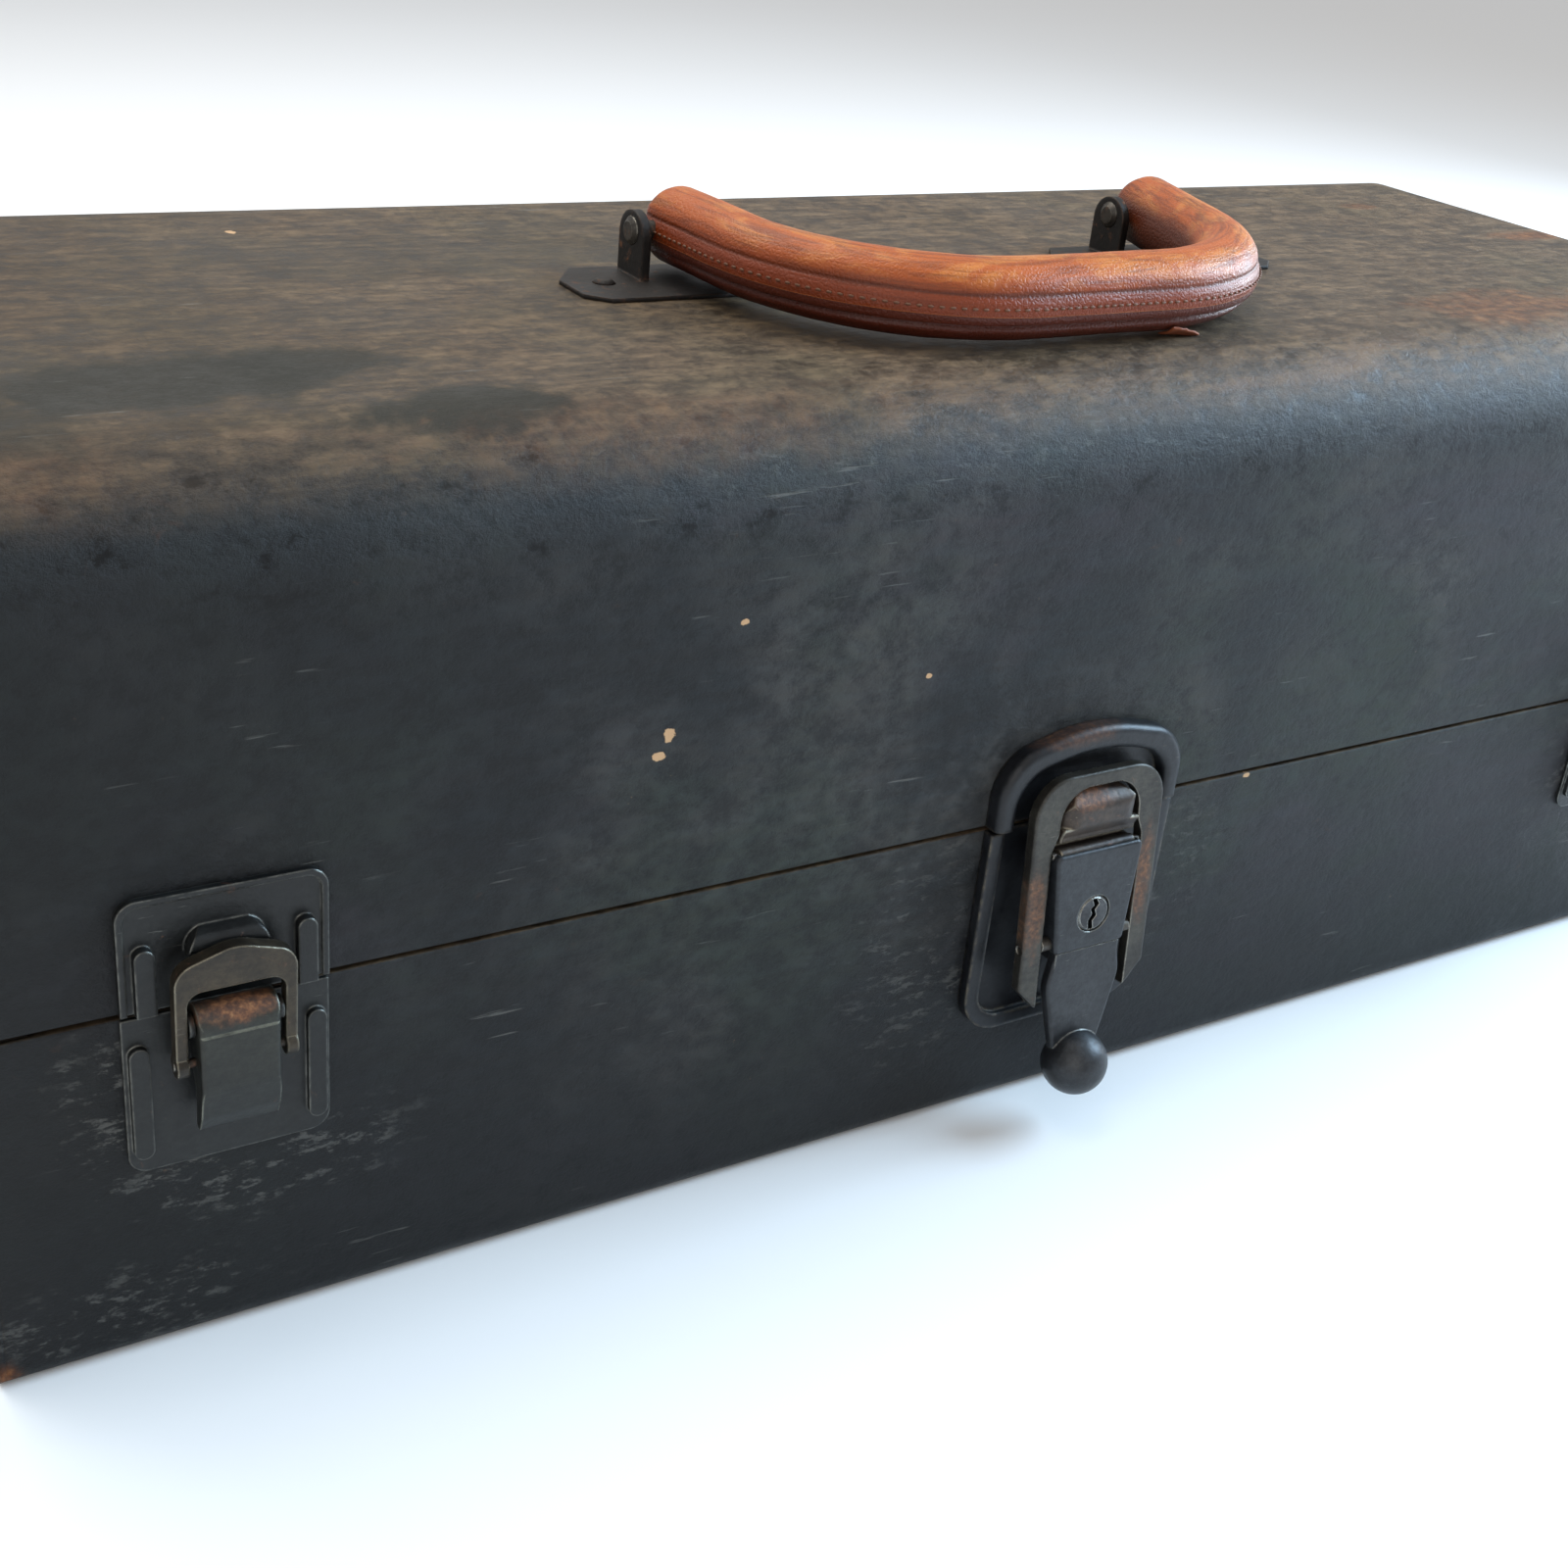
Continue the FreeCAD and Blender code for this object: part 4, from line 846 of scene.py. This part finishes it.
def makeThread():
    material, tree, shader, place = newMaterial("waxedThread")
    twist = noise(tree, stretched(tree, place, (900, 900, 300)), 1, 3, 0.6)
    colour = mix(tree, twist, shade(92, 60, 42), leather["thread"])
    tree.links.new(colour, shader.inputs["Base Color"])
    tree.links.new(bumped(tree, 0.5, 0.0002, twist), shader.inputs["Normal"])
    shader.inputs["Roughness"].default_value = 0.6
    return material


def makeHide():
    material, tree, shader, place = newMaterial("rawHide")
    tone = noise(tree, place, 300, 5, 0.6)
    tree.links.new(mix(tree, tone, shade(74, 34, 24), shade(168, 88, 46)), shader.inputs["Base Color"])
    tree.links.new(bumped(tree, 0.5, 0.0004, noise(tree, place, 900, 4, 0.6)), shader.inputs["Normal"])
    shader.inputs["Roughness"].default_value = 0.7
    return material


leatherGrip = makeGrip()
leatherMaterial = makeLeather()
leatherGrip.data.materials.append(leatherMaterial)
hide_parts("handle_grip")
stitches = makeStitches()
stitches.data.materials.append(makeThread())
tornScrap = makeTornScrap()
tornScrap.data.materials.append(makeHide())
for piece in (leatherGrip, stitches, tornScrap):
    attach(piece, "handle")
print("leather handle:", len(leatherGrip.data.vertices), "points")


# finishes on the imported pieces
def dress(material, names):
    for name in names:
        piece = nodes[name]
        piece.data.materials.clear()
        piece.data.materials.append(material)


def pair(*stems):
    # names of pieces that come as a left and a right one
    return [stem + side for stem in stems for side in ("_left", "_right")]


rustAtLever = [((-0.207, -0.109, 0.0838), (0.010, 0.006, 0.0035), 0.9),
               ((0.207, -0.109, 0.0838), (0.010, 0.006, 0.0035), 0.7)]
rustOnArch = [((-0.010, -0.105, 0.105), (0.020, 0.008, 0.004), 0.3)]
rustOnRing = [((-0.017, -0.112, 0.062), (0.004, 0.008, 0.014), 0.6),
              ((0.016, -0.112, 0.066), (0.003, 0.008, 0.016), 0.6)]
rustOnTongue = [((-0.004, -0.110, 0.090), (0.009, 0.008, 0.004), 0.7)]
pinNames = pair("hinge_pin", "handle_pin", "lever_pin", "bail_pin") + ["handle_core", "ring_axle", "case_pin"]
hingeNames = pair("hinge_body_leaf", "hinge_lid_leaf") + ["hinge_rivets_body", "hinge_rivets_lid"]
finishes = [  # finish, where it has rusted more, and the pieces it is on
    ("innerPaint", (), pair("dust_lip") + ["dust_lip_front"]),
    ("hingeSteel", (), hingeNames),
    ("pinSteel", (), pinNames),
    ("bracketIron", (), pair("handle_bracket") + ["handle_rivets"]),
    ("latchSteel", rustAtLever, pair("latch_base", "strike_plate")),
    ("leverSteel", rustAtLever, pair("latch_lever")),
    ("bailSteel", rustAtLever, pair("latch_bail")),
    ("keeperSteel", rustOnArch, ["centre_base", "arch_keeper"]),
    ("tongueSteel", rustOnTongue, ["tongue_block"]),
    ("ringSteel", rustOnRing, ["draw_ring"]),
    ("caseSteel", (), ["lock_case"]),
    ("tailSteel", (), ["lever_tail"]),
    ("plugSteel", (), ["lock_plug"]),
    ("lockBrass", (), ["lock_cylinder"]),
]
dress(makePaint(), pair("body_end", "lid_end") + ["body_wrap", "lid_wrap"])
for finish, rusty, names in finishes:
    dress(makeHardware(finish, rusty), names)
print("packed pieces dressed")


# floor, light and camera
stage = {
    "floorSize": 14,
    "floorColour": (0.86, 0.86, 0.86, 1),
    "floorRoughness": 0.9,
    "roomLight": 0.6,
    "aim": (0, 0, 0.1),
    "lamps": [  # name, place, power, size, colour
        ("windowLight", (1.15, -0.35, 0.80), 30, 0.7, (0.55, 0.78, 1.0)),
        ("lowWindow", (1.5, 0.15, 0.30), 14, 0.5, (0.80, 0.90, 1.0)),
        ("overheadLight", (-0.2, 0.5, 1.4), 16, 1.2, (1.0, 0.96, 0.90)),
        ("frontFill", (-0.9, -1.2, 0.8), 4, 1.0, (1.0, 0.98, 0.95)),
    ],
}
view = {
    "place": (-0.299388, -0.421844, 0.302527),
    "right": (0.85307, -0.51314, 0.09465),
    "up": (0.16487, 0.43718, 0.88413),
    "back": (-0.49506, -0.73862, 0.45755),
    "lens": 46.27,
    "sensor": 36,
    "nearest": 0.01,
}


def makeStage():
    deselectAll()
    bpy.ops.mesh.primitive_plane_add(size=stage["floorSize"], location=(0, 0, 0))
    floor = bpy.context.object
    floor.name = "floor"
    material, tree, shader, place = newMaterial("paleFloor")
    shader.inputs["Base Color"].default_value = stage["floorColour"]
    shader.inputs["Roughness"].default_value = stage["floorRoughness"]
    floor.data.materials.append(material)

    world = bpy.data.worlds.new("softRoom")
    bpy.context.scene.world = world
    world.use_nodes = True
    room = world.node_tree.nodes["Background"].inputs
    room["Color"].default_value = (1.0, 1.0, 1.0, 1)
    room["Strength"].default_value = stage["roomLight"]
    for name, place, power, size, colour in stage["lamps"]:
        bpy.ops.object.light_add(type="AREA", location=place)
        lamp = bpy.context.object
        lamp.name = name
        lamp.data.energy = power
        lamp.data.size = size
        lamp.data.color = colour
        away = Vector(place) - Vector(stage["aim"])
        lamp.rotation_euler = away.to_track_quat("Z", "Y").to_euler()


def makeCamera():
    bpy.ops.object.camera_add()
    camera = bpy.context.object
    camera.data.lens = view["lens"]
    camera.data.sensor_width = view["sensor"]
    turn = Matrix((view["right"], view["up"], view["back"])).transposed().to_4x4()
    camera.matrix_world = Matrix.Translation(view["place"]) @ turn
    camera.data.clip_start = view["nearest"]
    bpy.context.scene.camera = camera
    bpy.context.scene.view_settings.view_transform = "Standard"


makeStage()
makeCamera()
print("stage and camera set")
